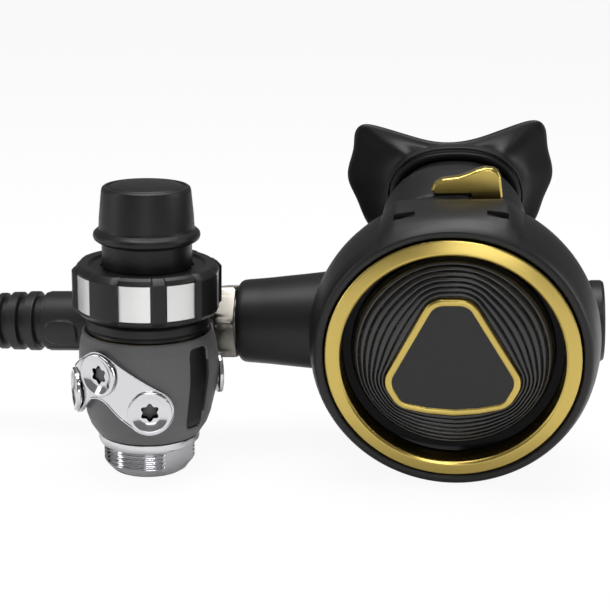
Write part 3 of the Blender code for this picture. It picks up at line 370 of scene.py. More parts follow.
MAKERS = {
    "black_polymer": glass_filled_nylon,
    "gloss_black": polished_abs,
    "graphite_cover": purge_cover_abs,
    "badge_grey": badge_abs,
    "grey_rubber": santoprene,
    "label_field": label_field_rubber,
    "black_rubber": hose_rubber,
    "sleeve_rubber": sleeve_rubber,
    "black_silicone": mouth_silicone,
    "polished_chrome": chrome_plated_brass,
    "socket_shade_look": socket_painted_shade,
    "satin_nickel": satin_nickel,
    "silver_plate": silver_plate,
    "gold_coat": gold_anodised,
    "brass": machined_brass,
    "spring_steel": spring_steel,
}


# ------------------------------------------------------------ geometry helpers
def radial(angle, r, z):
    """Point on the first stage at an angle in degrees from its front towards +X."""
    a = math.radians(angle)
    return (r * math.sin(a), -r * math.cos(a), z)


def radial_place(angle, r, z):
    """Matrix whose Z points outwards at an angle of the first stage."""
    outwards = Euler((math.pi / 2, 0, math.radians(angle))).to_matrix().to_4x4()
    return Matrix.Translation(Vector(radial(angle, r, z)) * MM) @ outwards


def read(profile, h):
    """Radius of a (radius, height) profile at a height."""
    return float(np.interp(h, [p[1] for p in profile], [p[0] for p in profile]))


def circle(r, h, steps):
    """Level circle of points round the Z axis."""
    turns = [2 * math.pi * k / steps for k in range(steps)]
    return [(r * math.cos(t), r * math.sin(t), h) for t in turns]


def softened(points, radius, steps=3, closed=True):
    """Round the corners of an outline."""
    out = []
    count = len(points)
    for i in range(count):
        p = Vector(points[i])
        if not closed and i in (0, count - 1):
            out.append(tuple(p))
            continue
        before, after = Vector(points[i - 1]) - p, Vector(points[(i + 1) % count]) - p
        opening = before.angle(after)
        if opening > math.radians(172) or before.length < 1e-6 or after.length < 1e-6:
            out.append(tuple(p))
            continue
        reach = min(radius / math.tan(opening / 2), 0.45 * before.length, 0.45 * after.length)
        r = reach * math.tan(opening / 2)
        before.normalize()
        after.normalize()
        centre = p + (before + after).normalized() * (r / math.sin(opening / 2))
        first, last = p + before * reach - centre, p + after * reach - centre
        for k in range(steps + 1):
            out.append(tuple(centre + first.lerp(last, k / steps).normalized() * r))
    return out


def inset(points, distance):
    """Move a closed outline inwards."""
    out = []
    count = len(points)
    for i in range(count):
        p = Vector(points[i])
        along = (Vector(points[(i + 1) % count]) - Vector(points[i - 1])).normalized()
        normal = Vector((-along.y, along.x))
        if normal.dot(-p) < 0:
            normal = -normal
        out.append(tuple(p + normal * distance))
    return out


def oval(x, depth, z, a, b, count=64, power=2.3):
    """Closed oval section at one depth of the second stage."""
    points = []
    for i in range(count):
        t = 2 * math.pi * i / count
        c, s = math.cos(t), math.sin(t)
        points.append((x + a * math.copysign(abs(c) ** (2 / power), c), depth,
                       z + b * math.copysign(abs(s) ** (2 / power), s)))
    return points


def skin(bm, loops, ring=False):
    """Faces between loops of equal count; a ring closes on its first loop, else both ends are capped."""
    rows = [[bm.verts.new(Vector(p) * MM) for p in loop] for loop in loops]
    pairs = list(zip(rows, rows[1:] + rows[:1])) if ring else list(zip(rows, rows[1:]))
    count = len(rows[0])
    for near, far in pairs:
        for i in range(count):
            j = (i + 1) % count
            bm.faces.new((near[i], near[j], far[j], far[i]))
    if not ring:
        bm.faces.new(rows[0])
        bm.faces.new(rows[-1])
    return bm


def lathe(bm, profile, steps=144, fillet=0.0):
    """Turned body from a (radius, height) outline, with rounded corners."""
    hollow = profile[0][0] > 0.01
    if fillet:
        profile = softened(profile, fillet, closed=hollow)
    return skin(bm, [circle(max(r, 0.01), h, steps) for r, h in profile], ring=hollow)


def place(name, bm, look, body, nodes=(), where=FIRST, sharp=40.0, bevel=0.0, levels=0, second_look=None,
          picker=None):
    """Make the object of a piece: weld, orient, put in place, give its finish and let it ride."""
    bmesh.ops.remove_doubles(bm, verts=bm.verts, dist=2e-6)
    bmesh.ops.recalc_face_normals(bm, faces=bm.faces)
    if picker:
        for face in bm.faces:
            face.material_index = 1 if picker(face.calc_center_median() / MM) else 0
    bmesh.ops.transform(bm, matrix=where, verts=bm.verts)
    mesh = bpy.data.meshes.new(name)
    bm.to_mesh(mesh)
    bm.free()
    mesh.shade_smooth()
    if sharp:
        mesh.set_sharp_from_angle(angle=math.radians(sharp))
    mesh.materials.append(finish(look))
    if second_look:
        mesh.materials.append(finish(second_look))
    obj = bpy.data.objects.new(name, mesh)
    bpy.context.scene.collection.objects.link(obj)
    if bevel:
        edge = obj.modifiers.new("edge radius", "BEVEL")
        edge.width = bevel * MM
        edge.segments = 3
        edge.limit_method = "ANGLE"
        edge.angle_limit = math.radians(30)
        edge.harden_normals = False
    if levels:
        surface = obj.modifiers.new("smooth surface", "SUBSURF")
        surface.levels = levels
        surface.render_levels = levels
    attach(obj, body)
    if nodes:
        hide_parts(*nodes)
    return obj


def carve(obj, bm, where=FIRST, operation="DIFFERENCE"):
    """Apply an exact Boolean with a temporary tool and keep the result."""
    bmesh.ops.recalc_face_normals(bm, faces=bm.faces)
    bmesh.ops.transform(bm, matrix=where, verts=bm.verts)
    mesh = bpy.data.meshes.new("tool")
    bm.to_mesh(mesh)
    bm.free()
    tool = bpy.data.objects.new("tool", mesh)
    bpy.context.scene.collection.objects.link(tool)
    modifier = obj.modifiers.new("cut", "BOOLEAN")
    modifier.operation = operation
    modifier.solver = "EXACT"
    modifier.object = tool
    bpy.context.view_layer.update()
    result = bpy.data.meshes.new_from_object(obj.evaluated_get(bpy.context.evaluated_depsgraph_get()))
    obj.modifiers.remove(modifier)
    obj.data = result
    result.shade_smooth()
    result.set_sharp_from_angle(angle=math.radians(40))
    bpy.data.objects.remove(tool, do_unlink=True)


def block(bm, x, y, z):
    """Add a box from three ranges."""
    v = [bm.verts.new(Vector((x[a], y[b], z[c])) * MM) for c in (0, 1)
         for a, b in ((0, 0), (1, 0), (1, 1), (0, 1))]
    for face in ((0, 1, 2, 3), (4, 5, 6, 7), (0, 1, 5, 4), (1, 2, 6, 5), (2, 3, 7, 6), (3, 0, 4, 7)):
        bm.faces.new([v[k] for k in face])
    return bm


def smooth_route(points, spacing):
    """Catmull-Rom curve through route points, read at an even spacing."""
    pts = [Vector(p) for p in points]
    pts = [2 * pts[0] - pts[1]] + pts + [2 * pts[-1] - pts[-2]]
    fine = []
    for a, b, c, d in zip(pts, pts[1:], pts[2:], pts[3:]):
        for k in range(24):
            t = k / 24
            fine.append(0.5 * (2 * b + (c - a) * t + (2 * a - 5 * b + 4 * c - d) * t * t
                               + (3 * b - a - 3 * c + d) * t ** 3))
    fine.append(pts[-2])
    walked = [0.0]
    for p, q in zip(fine, fine[1:]):
        walked.append(walked[-1] + (q - p).length)
    steps = max(2, round(walked[-1] / spacing))
    goals = np.linspace(0.0, walked[-1], steps + 1)
    axes = [np.interp(goals, walked, [p[k] for p in fine]) for k in range(3)]
    return [Vector(p) for p in zip(*axes)], walked[-1]


# ------------------------------------------------------------ hose
HOSE_ROUTE = [
    (13.3, 25.6, 37.5), (-4.4, 27.9, 36.5), (-22.1, 30.2, 35.5), (-38.4, 32.3, 34.6), (-54.7, 34.4, 33.7),
    (-74.0, 35.5, 31.0), (-96.0, 35.5, 21.5), (-118.0, 35.5, 11.8), (-136.0, 35.5, 7.3), (-154.0, 35.5, 6.45),
    (-176.0, 35.5, 6.45), (-201.6, 42.4, 6.45), (-220.4, 61.1, 6.45), (-227.2, 86.8, 6.45),
    (-220.4, 112.4, 6.45), (-201.6, 131.1, 6.45), (-176.0, 138.0, 6.45), (-150.0, 138.0, 6.45),
    (-120.0, 138.0, 6.45), (-88.0, 138.0, 6.45), (-53.0, 138.0, 6.45), (-32.7, 134.0, 6.45),
    (-15.5, 122.5, 6.75), (-4.0, 105.3, 7.55), (0.0, 85.0, 9.65), (0.0, 74.0, 12.9), (0.0, 64.0, 16.4),
    (0.0, 54.0, 18.8), (0.0, 47.0, 19.4), (0.0, 41.2, 19.5),
]


def sleeve_radius(s, angle):
    """Radius of the sleeve at a distance from its far end and an angle from its top towards the front."""
    ribs = [(0.0, 7.4), (4.3, 7.4), (4.6, 8.9), (6.4, 8.9), (6.7, 7.5), (8.7, 7.6), (9.0, 9.2), (11.9, 9.2),
            (12.2, 7.7), (14.2, 7.8), (14.5, 9.4), (17.2, 9.4), (17.5, 7.9), (19.6, 8.0), (20.0, 9.4),
            (39.2, 9.4), (39.8, 9.0), (40.0, 8.6)]
    r = float(np.interp(s, [p[0] for p in ribs], [p[1] for p in ribs]))
    # a raised bare pad faces the front
    across = (angle - 92.0) / 25.5
    along = (s - 26.45) / 5.25
    pad = max(0.0, min(1.0, (1.0 - (abs(across) ** 3 + abs(along) ** 3)) * 4.0))
    # one groove rings the sleeve behind its ribs and one runs along it
    groove = 0.0
    if 19.9 < s < 21.0 or (20.0 < s < 39.0 and abs(angle - 128.0) < 2.5):
        groove = 0.3
    return r + 0.55 * pad - groove


class RegulatorHose(bpy.types.Operator):
    """Build the low pressure hose, its bend sleeve and its end fittings"""

    bl_idname = "regulator.hose"
    bl_label = "Hose"

    def execute(self, context):
        """Hose axis, sleeve, ferrule, swivel nut and port fitting."""
        points, length = smooth_route(HOSE_ROUTE, 3.0)
        curve = bpy.data.curves.new("hose", "CURVE")
        curve.dimensions = "3D"
        curve.bevel_depth = sizes().hose_radius
        curve.bevel_resolution = 10
        curve.use_fill_caps = True
        spline = curve.splines.new("POLY")
        spline.points.add(len(points) - 1)
        for knot, p in zip(spline.points, points):
            knot.co = (*(p * MM), 1.0)
        spline.use_smooth = True
        curve.materials.append(finish("black_rubber"))
        hose = bpy.data.objects.new("hose", curve)
        bpy.context.scene.collection.objects.link(hose)
        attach(hose, "first_stage")
        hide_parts("low_pressure_hose")
        bore_near = circle(SLEEVE_BORE, SLEEVE_START, 120)
        bore_far = circle(SLEEVE_BORE, SLEEVE_START + SLEEVE_LENGTH, 120)
        rows = []
        for s in np.arange(0.0, SLEEVE_LENGTH + 0.01, 0.25):
            row = []
            for turn in range(0, 360, 3):
                r = sleeve_radius(s, (turn - 180) % 360)
                phi = math.radians(turn)
                row.append((r * math.cos(phi), r * math.sin(phi), SLEEVE_START + s))
            rows.append(row)
        bm = skin(bmesh.new(), [bore_near] + rows + [bore_far], ring=True)
        sleeve = place("bend_sleeve", bm, "sleeve_rubber", "first_stage", ("hose_sleeve",), ALONG,
                       sharp=50)
        bm = lathe(bmesh.new(), [(2.4, -79.0), (7.3, -79.0), (7.9, -78.5), (7.9, -77.4), (7.5, -77.1),
                                 (7.5, -76.7), (7.9, -76.4), (7.9, -75.2), (7.5, -74.9), (7.5, -74.5),
                                 (7.9, -74.2), (7.9, -73.6), (7.3, -73.0), (2.4, -73.0)], fillet=0.15)
        place("crimped_ferrule", bm, "polished_chrome", "first_stage", ("hose_ferrule",), ALONG)
        rows = []
        for h, cap in ((NUT_START, 8.0), (NUT_START, 11.2), (NUT_START + 0.7, NUT_CORNER),
                       (NUT_END - 0.4, NUT_CORNER), (NUT_END, 12.0), (NUT_END, 8.9), (-62.0, 8.9),
                       (-62.0, 5.0), (NUT_START, 5.0)):
            row = []
            for k in range(180):
                phi = math.radians(2 * k)
                local = (phi - math.radians(NUT_PHASE) + math.pi / 6) % (math.pi / 3) - math.pi / 6
                hexagon = NUT_CORNER * math.cos(math.pi / 6) / math.cos(math.pi / 6 - abs(local))
                r = min(hexagon, cap)
                row.append((r * math.cos(phi), r * math.sin(phi), h))
            rows.append(row)
        bm = skin(bmesh.new(), rows, ring=True)
        place("hexagon_swivel_nut", bm, "satin_nickel", "first_stage", ("swivel_nut",), ALONG,
              sharp=20)
        bm = lathe(bmesh.new(), [(2.4, 13.4), (3.6, 13.4), (3.6, 21.6), (7.9, 21.6), (7.9, 22.2), (6.6, 22.8),
                                 (6.6, 27.4), (7.9, 28.0), (7.9, 31.0), (7.6, 31.4), (7.6, 31.8),
                                 (7.9, 32.2), (7.9, 35.0), (7.6, 35.4), (7.6, 35.8), (7.9, 36.2),
                                 (7.9, 39.4), (7.4, 40.7), (2.4, 40.7)], fillet=0.2)
        place("hose_port_fitting", bm, "polished_chrome", "first_stage", ("first_stage_fitting",),
              Matrix.Translation((0, 0, HOSE_PORT_Z * MM)) @ Matrix.Rotation(-math.pi / 2, 4, "X"))
        return {"FINISHED"}


# ------------------------------------------------------------ first stage
class RegulatorRetainer(bpy.types.Operator):
    """Build the ridged spring retainer with its two wrench flats"""

    bl_idname = "regulator.retainer"
    bl_label = "Spring retainer"

    def execute(self, context):
        """Ridges run out where the flats cut them."""
        r = RETAINER_R
        profile = [(9.8, 0.02), (10.9, 0.0), (11.3, 0.15), (12.9, 2.0), (13.3, 2.6), (r, 3.0)]
        # four broad ridges, then the flange that carries the cover
        for k in range(4):
            z = 3.0 + 1.25 * k
            for step in range(9):
                t = step / 8
                profile.append((r - 0.62 * math.sin(math.pi * t) ** 2, z + 1.25 * t))
        profile += [(13.9, 8.15), (14.6, 8.5), (14.9, 9.2), (14.95, 10.2), (14.8, 11.0), (14.2, 11.3),
                    (12.3, 11.3), (12.3, 16.9), (9.8, 16.9), (9.8, 3.0), (0.01, 3.0), (0.01, 2.2),
                    (9.8, 2.2)]
        rows = []
        for radius, z in profile:
            cut_here = radius > 10.5 and z < 11.2
            row = []
            for k in range(240):
                phi = 2 * math.pi * k / 240
                off = (phi - math.radians(FLAT_ANGLE - 90) + math.pi / 2) % math.pi - math.pi / 2
                flat = FLAT_AT / max(math.cos(off), 0.05)
                q = min(radius, flat + max(0.0, z - 7.6) * 2.2) if cut_here else radius
                row.append((q * math.cos(phi), q * math.sin(phi), z))
            rows.append(row)
        bm = skin(bmesh.new(), rows, ring=True)
        place("ridged_retainer", bm, "polished_chrome", "first_stage", ("spring_retainer",), sharp=35)
        return {"FINISHED"}


def cover_surface(angle, z):
    """Radius of the rubber cover, with its bare recessed field and its soft crease."""
    r = read(COVER_PROFILE, z)
    # the sunk field is 22.6 degrees wide and 25 mm tall
    across = abs(angle - 53.6) / 11.3
    along = abs(z - 28.0) / 12.5
    inside = max(0.0, min(1.0, (1.0 - max(across ** 6 + along ** 10, 0.0)) * 5.0))
    # a soft crease runs down from the collar towards the front plug
    line = (z - 43.0) + (angle + 15.0) * (13.0 / 34.0)
    fade = max(0.0, 1.0 - abs(angle - 2.0) / 24.0)
    crease = fade * (0.25 * math.exp(-((line - 3.0) / 2.5) ** 2) - 0.35 * math.exp(-(line / 2.0) ** 2))
    # the cover swells round the plug at its right
    bulge = 0.9 * math.exp(-((angle - 100.0) / 16.0) ** 2 - ((z - 27.0) / 7.0) ** 2)
    return r - 0.55 * inside + crease + bulge, inside


class RegulatorBody(bpy.types.Operator):
    """Build the rubber body cover and the swivel collar above it"""

    bl_idname = "regulator.body_cover"
    bl_label = "Body cover"

    def execute(self, context):
        """Over-moulded cover with a bare field, and the ring under the handwheel."""
        rows = []
        heights = [11.7] + list(np.arange(12.0, 43.01, 0.4))
        for z in heights:
            row = []
            for k in range(360):
                angle = k if k <= 180 else k - 360
                row.append(radial(angle, cover_surface(angle, z)[0], z))
            rows.append(row)
        for z in reversed(heights[::4]):
            rows.append([radial(k, read(COVER_PROFILE, z) - 1.7, z) for k in range(360)])

        def in_field(p):
            """True on the sunk floor of the field."""
            angle = math.degrees(math.atan2(p.x, -p.y))
            outside = math.hypot(p.x, p.y) > read(COVER_PROFILE, p.z) - 1.0
            return outside and cover_surface(angle, p.z)[1] > 0.9

        bm = skin(bmesh.new(), rows, ring=True)
        # the sunk field gets a darker look that is partly its own tone and partly painted shade
        piece = place("overmoulded_cover", bm, "grey_rubber", "first_stage", ("body_cover",), sharp=45,
                      second_look="label_field", picker=in_field)
        bm = lathe(bmesh.new(), [(6.6, 43.7), (15.2, 43.7), (15.2, 42.9), (18.0, 42.9), (17.6, 43.7),
                                 (18.1, 44.6), (18.0, 46.6), (17.4, 47.4), (6.6, 47.4)], fillet=0.2)
        place("collar_ring", bm, "black_polymer", "first_stage", ("swivel_collar",))
        return {"FINISHED"}


def plate_edges(u):
    """Lower and upper edge of the port plate at one arc position."""
    spots = [(PLUGS[n][0] * PLATE_SCALE, PLUGS[n][1]) for n in PLATED_PLUGS]
    low, high = [], []
    for cu, cz in spots:
        if abs(u - cu) < PLATE_HALF:
            rise = math.sqrt(PLATE_HALF ** 2 - (u - cu) ** 2)
            low.append(cz - rise)
            high.append(cz + rise)
    for (u0, z0), (u1, z1) in zip(spots, spots[1:]):
        slope = math.atan2(z1 - z0, u1 - u0)
        a = (u0 - PLATE_HALF * math.sin(slope), z0 + PLATE_HALF * math.cos(slope))
        b = (u1 - PLATE_HALF * math.sin(slope), z1 + PLATE_HALF * math.cos(slope))
        if a[0] <= u <= b[0]:
            high.append(a[1] + (b[1] - a[1]) * (u - a[0]) / (b[0] - a[0]))
    # the lower edge arches up between the plugs
    c, a, b = spots
    arch = [(c[0] + 3.0, c[1] - 6.2), (c[0] + 5.0, 20.6), (c[0] + 7.0, 22.6), (c[0] + 9.5, 24.4),
            (a[0] - 3.2, 25.5), (a[0] - 1.0, 26.1), (a[0], 26.1), (a[0] + 1.5, 25.8), (a[0] + 3.0, 24.9),
            (a[0] + 6.5, 21.7), (b[0] - 5.0, b[1] - 4.8)]
    for (u0, z0), (u1, z1) in zip(arch, arch[1:]):
        if u0 <= u <= u1:
            low = [z0 + (z1 - z0) * (u - u0) / (u1 - u0)]
    return min(low), max(high)


class RegulatorPorts(bpy.types.Operator):
    """Build the chromed port plate and the five port plugs"""

    bl_idname = "regulator.ports"
    bl_label = "Port plate and plugs"

    def execute(self, context):
        """Wave-shaped plate with a raised rim, and dished plugs with six-lobed sockets."""
        first = PLUGS["port_plug_left"][0] * PLATE_SCALE - PLATE_HALF + 0.05
        last = PLUGS["port_plug_front"][0] * PLATE_SCALE + PLATE_HALF - 0.05
        rows = []
        for i in range(181):
            t = i / 180
            u = first + (last - first) * (t - 0.12 * math.sin(2 * math.pi * t) / 2)
            low, high = plate_edges(u)
            rim = min(0.5, (high - low) / 2 * 0.45)
            angle = u / PLATE_SCALE
            rise = [(20.3, 0.0), (21.2, 0.0), (21.5, rim * 0.35), (21.5, rim), (PLATE_OUT, rim * 1.4)]
            rows.append([radial(angle, r, low + up) for r, up in rise]
                        + [radial(angle, r, high - up) for r, up in reversed(rise)])
        bm = skin(bmesh.new(), rows)
        plate = place("wave_port_plate", bm, "polished_chrome", "first_stage", ("port_plate",),
                      sharp=40)
        for name in PLATED_PLUGS:
            angle, z = PLUGS[name]
            hole = lathe(bmesh.new(), [(0, 18.0), (5.6, 18.0), (5.6, 23.0), (0, 23.0)], steps=72)
            carve(plate, hole, radial_place(angle, 0.0, z))
        for name, (angle, z) in PLUGS.items():
            face = PLUG_FACE - (0.0 if name in PLATED_PLUGS else 0.6)
            rows = []
            for r, h, star in ((3.6, 15.0, 0), (3.6, face - 1.3, 0), (6.1, face - 1.3, 0),
                               (6.3, face - 1.1, 0), (6.3, face - 0.25, 0), (6.15, face - 0.06, 0),
                               (5.9, face, 0),
                               (5.4, face, 0), (5.25, face - 0.08, 0), (3.5, face - 0.95, 0),
                               (3.0, face - 1.0, 0), (2.75, face - 1.0, 1), (2.6, face - 1.15, 1),
                               (2.55, face - 3.4, 1)):
                row = []
                for k in range(144):
                    phi = 2 * math.pi * k / 144
                    q = r * (1 - 0.13 * (1 + math.cos(6 * phi)) * star)
                    row.append((q * math.cos(phi), q * math.sin(phi), h))
                rows.append(row)

            def in_socket(p, top=face):
                """True on the walls and the floor of the socket, which carry the painted shade."""
                return math.hypot(p.x, p.y) < 3.0 and top - 3.6 < p.z < top - 1.06

            # the socket's walls and floor get a dull dark metal as painted shade
            place("dished_" + name, skin(bmesh.new(), rows), "polished_chrome", "first_stage", (name,),
                  radial_place(angle, 0.0, z), second_look="socket_shade_look", picker=in_socket)
        return {"FINISHED"}


class RegulatorHandwheel(bpy.types.Operator):
    """Build the handwheel: metal hub with its thread, and the ribbed grip"""

    bl_idname = "regulator.handwheel"
    bl_label = "Handwheel"

    def execute(self, context):
        """Hub, three grip rings, four ribs and four lobes."""
        profile = [(6.5, 48.0), (16.9, 48.0), (17.2, 48.4), (17.2, HUB_LOW), (HUB_R + 0.2, HUB_LOW),
                   (HUB_R + 0.2, HUB_HIGH), (16.0, HUB_HIGH), (16.0, 60.9), (NOSE_R - 0.9, 60.9),
                   (NOSE_R - 0.9, 62.6)]
        z = 62.6
        pitch = sizes().thread_pitch / MM
        while z < NOSE_TOP - 1.5 * pitch:
            profile += [(NOSE_R, z + 0.42 * pitch), (NOSE_R, z + 0.55 * pitch),
                        (NOSE_R - 0.9, z + pitch)]
            z += pitch
        profile += [(NOSE_R - 0.9, NOSE_TOP - 0.4), (NOSE_R - 1.3, NOSE_TOP), (8.8, NOSE_TOP),
                    (8.8, 76.0), (6.5, 76.0)]
        bm = lathe(bmesh.new(), profile)
        place("plated_hub", bm, "satin_nickel", "handwheel", ("handwheel_hub",), sharp=30,
              second_look="silver_plate", picker=lambda p: math.hypot(p.x, p.y) > HUB_R)
        bm = bmesh.new()
        lathe(bm, [(16.4, 60.4), (16.4, 61.7), (17.0, 62.4), (19.3, 62.4), (20.3, 61.7), (20.75, 60.9),
                   (20.75, 60.2), (19.6, 60.2)], fillet=0.2)
        lathe(bm, [(13.4, 61.0), (16.8, 61.0), (16.8, 61.75), (13.4, 61.75)], fillet=0.15)
        lathe(bm, [(17.6, 50.0), (20.75, 50.0), (20.75, 49.3), (20.0, 48.4), (19.0, 47.9), (17.6, 47.9)],
              fillet=0.2)
        for quarter in range(4):
            for centre, half, reach, corner in ((0.0, RIB_HALF, RIB_R, 2.0), (45.0, 13.5, LOBE_R, 3.2)):
                mid = RIB_CENTRE + 90.0 * quarter + centre
                flat = half - corner
                edge_in = half - corner * 0.12
                marks = [-half, -edge_in, *np.linspace(-flat, flat, 7), edge_in, half]
                rows = []
                for z, drop in ((48.2, 2.2), (48.7, 1.3), (50.1, 0.0), (60.7, 0.0), (61.6, 0.8),
                                (62.45, 2.0)):
                    row = [radial(mid - half, 18.6, z)]
                    for m in marks:
                        edge = max(0.0, (abs(m) - flat) / corner)
                        row.append(radial(mid + m, reach - drop - 0.75 * edge, z))
                    row.append(radial(mid + half, 18.6, z))
                    rows.append(row)
                skin(bm, rows)
        place("ribbed_grip", bm, "black_polymer", "handwheel", ("handwheel_grip",), sharp=28, bevel=0.16)
        return {"FINISHED"}


class RegulatorCap(bpy.types.Operator):
    """Build the dust cap of the cylinder inlet"""

    bl_idname = "regulator.dust_cap"
    bl_label = "Dust cap"

    def execute(self, context):
        """Turned outline with a round bead and a shallow dish on top."""
        profile = [(0.0, 82.6), (11.2, 82.4), (11.8, 81.8), (11.8, 61.3), (12.6, 61.0), (13.0, 61.5),
                   (13.0, 68.5), (13.3, 69.0), (14.6, 69.3), (15.2, 69.8), (15.45, 70.7), (15.25, 71.5),
                   (14.6, 72.1), (13.9, 72.5), (13.75, 73.2), (13.6, 76.0), (12.85, 83.6), (12.6, 84.4),
                   (12.1, 84.8), (11.4, 84.9), (11.2, 84.4), (10.8, 84.45), (10.2, 84.9), (7.0, 85.6),
                   (0.0, 86.0)]
        bm = lathe(bmesh.new(), softened(profile, 0.35, closed=False))
        place("moulded_dust_cap", bm, "black_polymer", "dust_cap", ("dust_cap",), sharp=50)
        return {"FINISHED"}


# ------------------------------------------------------------ second stage
def case_radius(depth):
    """Outer radius of the case at a depth."""
    return float(np.interp(depth, [p[1] for p in CASE_OUTER[1:]], [p[0] for p in CASE_OUTER[1:]]))


class RegulatorCase(bpy.types.Operator):
    """Build the case of the second stage with its neck, mouth tube and end cap"""

    bl_idname = "regulator.case"
    bl_label = "Case"

    def execute(self, context):
        """Bowl, neck and mouth tube flow into each other through small fillets."""
        shape = bmesh.new()
        lathe(shape, [(0.0, 10.0), (34.4, 10.0), (34.4, 3.4), (36.4, 3.4)] + CASE_OUTER, steps=180)
        bmesh.ops.transform(shape, matrix=INWARDS, verts=shape.verts)
        neck = lathe(bmesh.new(), [(0, NECK_END), (11.7, NECK_END), (12.1, NECK_END + 0.3),
                                   (12.8, NECK_END + 1.3), (13.3, -58.0), (14.0, -51.0), (14.8, -43.0),
                                   (15.7, -35.0), (15.4, -28.0), (12.8, -20.0), (12.6, 30.0),
                                   (12.1, 36.0), (12.1, 41.0), (0, 41.0)], steps=120)
        bmesh.ops.transform(neck, matrix=BARREL, verts=neck.verts)
        tube = skin(bmesh.new(), [oval(MOUTH_X, d, z, a, b) for d, z, a, b in MOUTH])
        seat = lathe(bmesh.new(), [(0, 26.0), (13.0, 26.0), (13.0, 40.5), (0, 40.5)], steps=96)
        bmesh.ops.transform(seat, matrix=EXHAUST, verts=seat.verts)
        for extra in (neck, tube, seat):
            bmesh.ops.recalc_face_normals(extra, faces=extra.faces)
            data = bpy.data.meshes.new("part")
            extra.to_mesh(data)
            shape.from_mesh(data)
            extra.free()
            bpy.data.meshes.remove(data)
        case = place("moulded_case", shape, "black_polymer", "second_stage", ("second_stage_case",),
                     sharp=0)
        merge = case.modifiers.new("merge", "REMESH")
        merge.mode = "VOXEL"
        merge.voxel_size = 0.7 * MM
        ease = case.modifiers.new("fillets", "SMOOTH")
        ease.iterations = 6
        ease.factor = 0.5
        bpy.context.view_layer.update()
        result = bpy.data.meshes.new_from_object(case.evaluated_get(bpy.context.evaluated_depsgraph_get()))
        case.modifiers.clear()
        case.data = result
        result.materials.clear()
        result.materials.append(finish("black_polymer"))
        breath = [oval(MOUTH_X, d, z, a - 2.2, b - 2.2, 48) for d, z, a, b in MOUTH[1:]]
        breath[0] = [(x, 34.0, z - 1.0) for x, y, z in breath[0]]
        breath[-1] = [(x, 70.0, z) for x, y, z in breath[-1]]
        carve(case, skin(bmesh.new(), breath))
        lever_notch = ((4.4, 16.2), (20.3, 28.6), (39.4, 52.0))
        panel_seat = ((-15.0, 15.0), (9.0, 21.5), (41.3, 52.0))
        for room in (lever_notch, panel_seat):
            carve(case, block(bmesh.new(), *room))
        chamber = [(0, 9.0), (32.6, 9.0), (32.6, 12.0), (38.0, 14.0), (39.0, 18.0), (38.0, 24.0),
                   (36.2, 28.8), (33.4, 32.0), (29.4, 34.4), (25.0, 35.8), (0, 36.6)]
        carve(case, lathe(bmesh.new(), chamber), INWARDS)
        inlet = [(0, NECK_END - 3), (9.6, NECK_END - 3), (9.6, -56.0), (0, -56.0)]
        carve(case, lathe(bmesh.new(), inlet, 96), BARREL)
        case.data.transform(SECOND)
        for polygon in case.data.polygons:
            polygon.use_smooth = True
        cap = [(0, 39.4), (11.6, 39.4), (12.2, 40.2), (12.2, 43.0), (11.7, BOSS_END), (8.4, BOSS_END),
               (8.2, 43.4), (0, 43.4)]
        place("screwed_end_cap", lathe(bmesh.new(), cap, fillet=0.3), "black_polymer", "second_stage",
              ("barrel_end_cap",), ALONG)
        return {"FINISHED"}


class RegulatorRing(bpy.types.Operator):
    """Build the gold front ring and the gloss bezel inside it"""

    bl_idname = "regulator.front_ring"
    bl_label = "Front ring and bezel"

    def execute(self, context):
        """Wide bevel, bright inner lip, and a deep black gap."""
        profile = [(31.6, 8.9), (31.6, 0.75), (31.75, 0.5), (32.3, 0.02), (32.6, 0.0), (35.6, 0.75),
                   (35.95, 1.0), (36.05, 1.4), (36.0, 3.1), (34.1, 3.1), (34.1, 8.9)]
        bm = lathe(bmesh.new(), softened(profile, 0.12), steps=240)
        place("anodised_front_ring", bm, "gold_coat", "second_stage", ("front_ring",), DEEP, sharp=60)
        bm = lathe(bmesh.new(), [(29.1, 8.8), (29.1, 7.9), (30.2, 7.6), (31.3, 7.2), (31.3, 8.8)], steps=180)
        # the bezel's near-black with almost no reflection is partly painted shade of the gap
        place("gloss_bezel", bm, "gloss_black", "second_stage", ("purge_bezel",), DEEP)
        return {"FINISHED"}


DOME = [(0, 3.1), (14, 3.2), (17.5, 3.4), (20.4, 3.75), (22.5, 4.2), (24.5, 4.85), (26.0, 5.45), (27.2, 6.05),
        (28.3, 6.75), (28.8, 7.3)]


def badge_reach(outline, angle):
    """Distance from the centre to a closed outline along a direction."""
    ray = Vector((math.cos(angle), math.sin(angle)))
    best = 0.0
    for p, q in zip(outline, outline[1:] + outline[:1]):
        p, edge = Vector(p), Vector(q) - Vector(p)
        cross = ray.x * edge.y - ray.y * edge.x
        if abs(cross) < 1e-9:
            continue
        t = (p.x * edge.y - p.y * edge.x) / cross
        u = (p.x * ray.y - p.y * ray.x) / cross
        if t > 0 and -1e-6 <= u <= 1 + 1e-6:
            best = max(best, t)
    return best


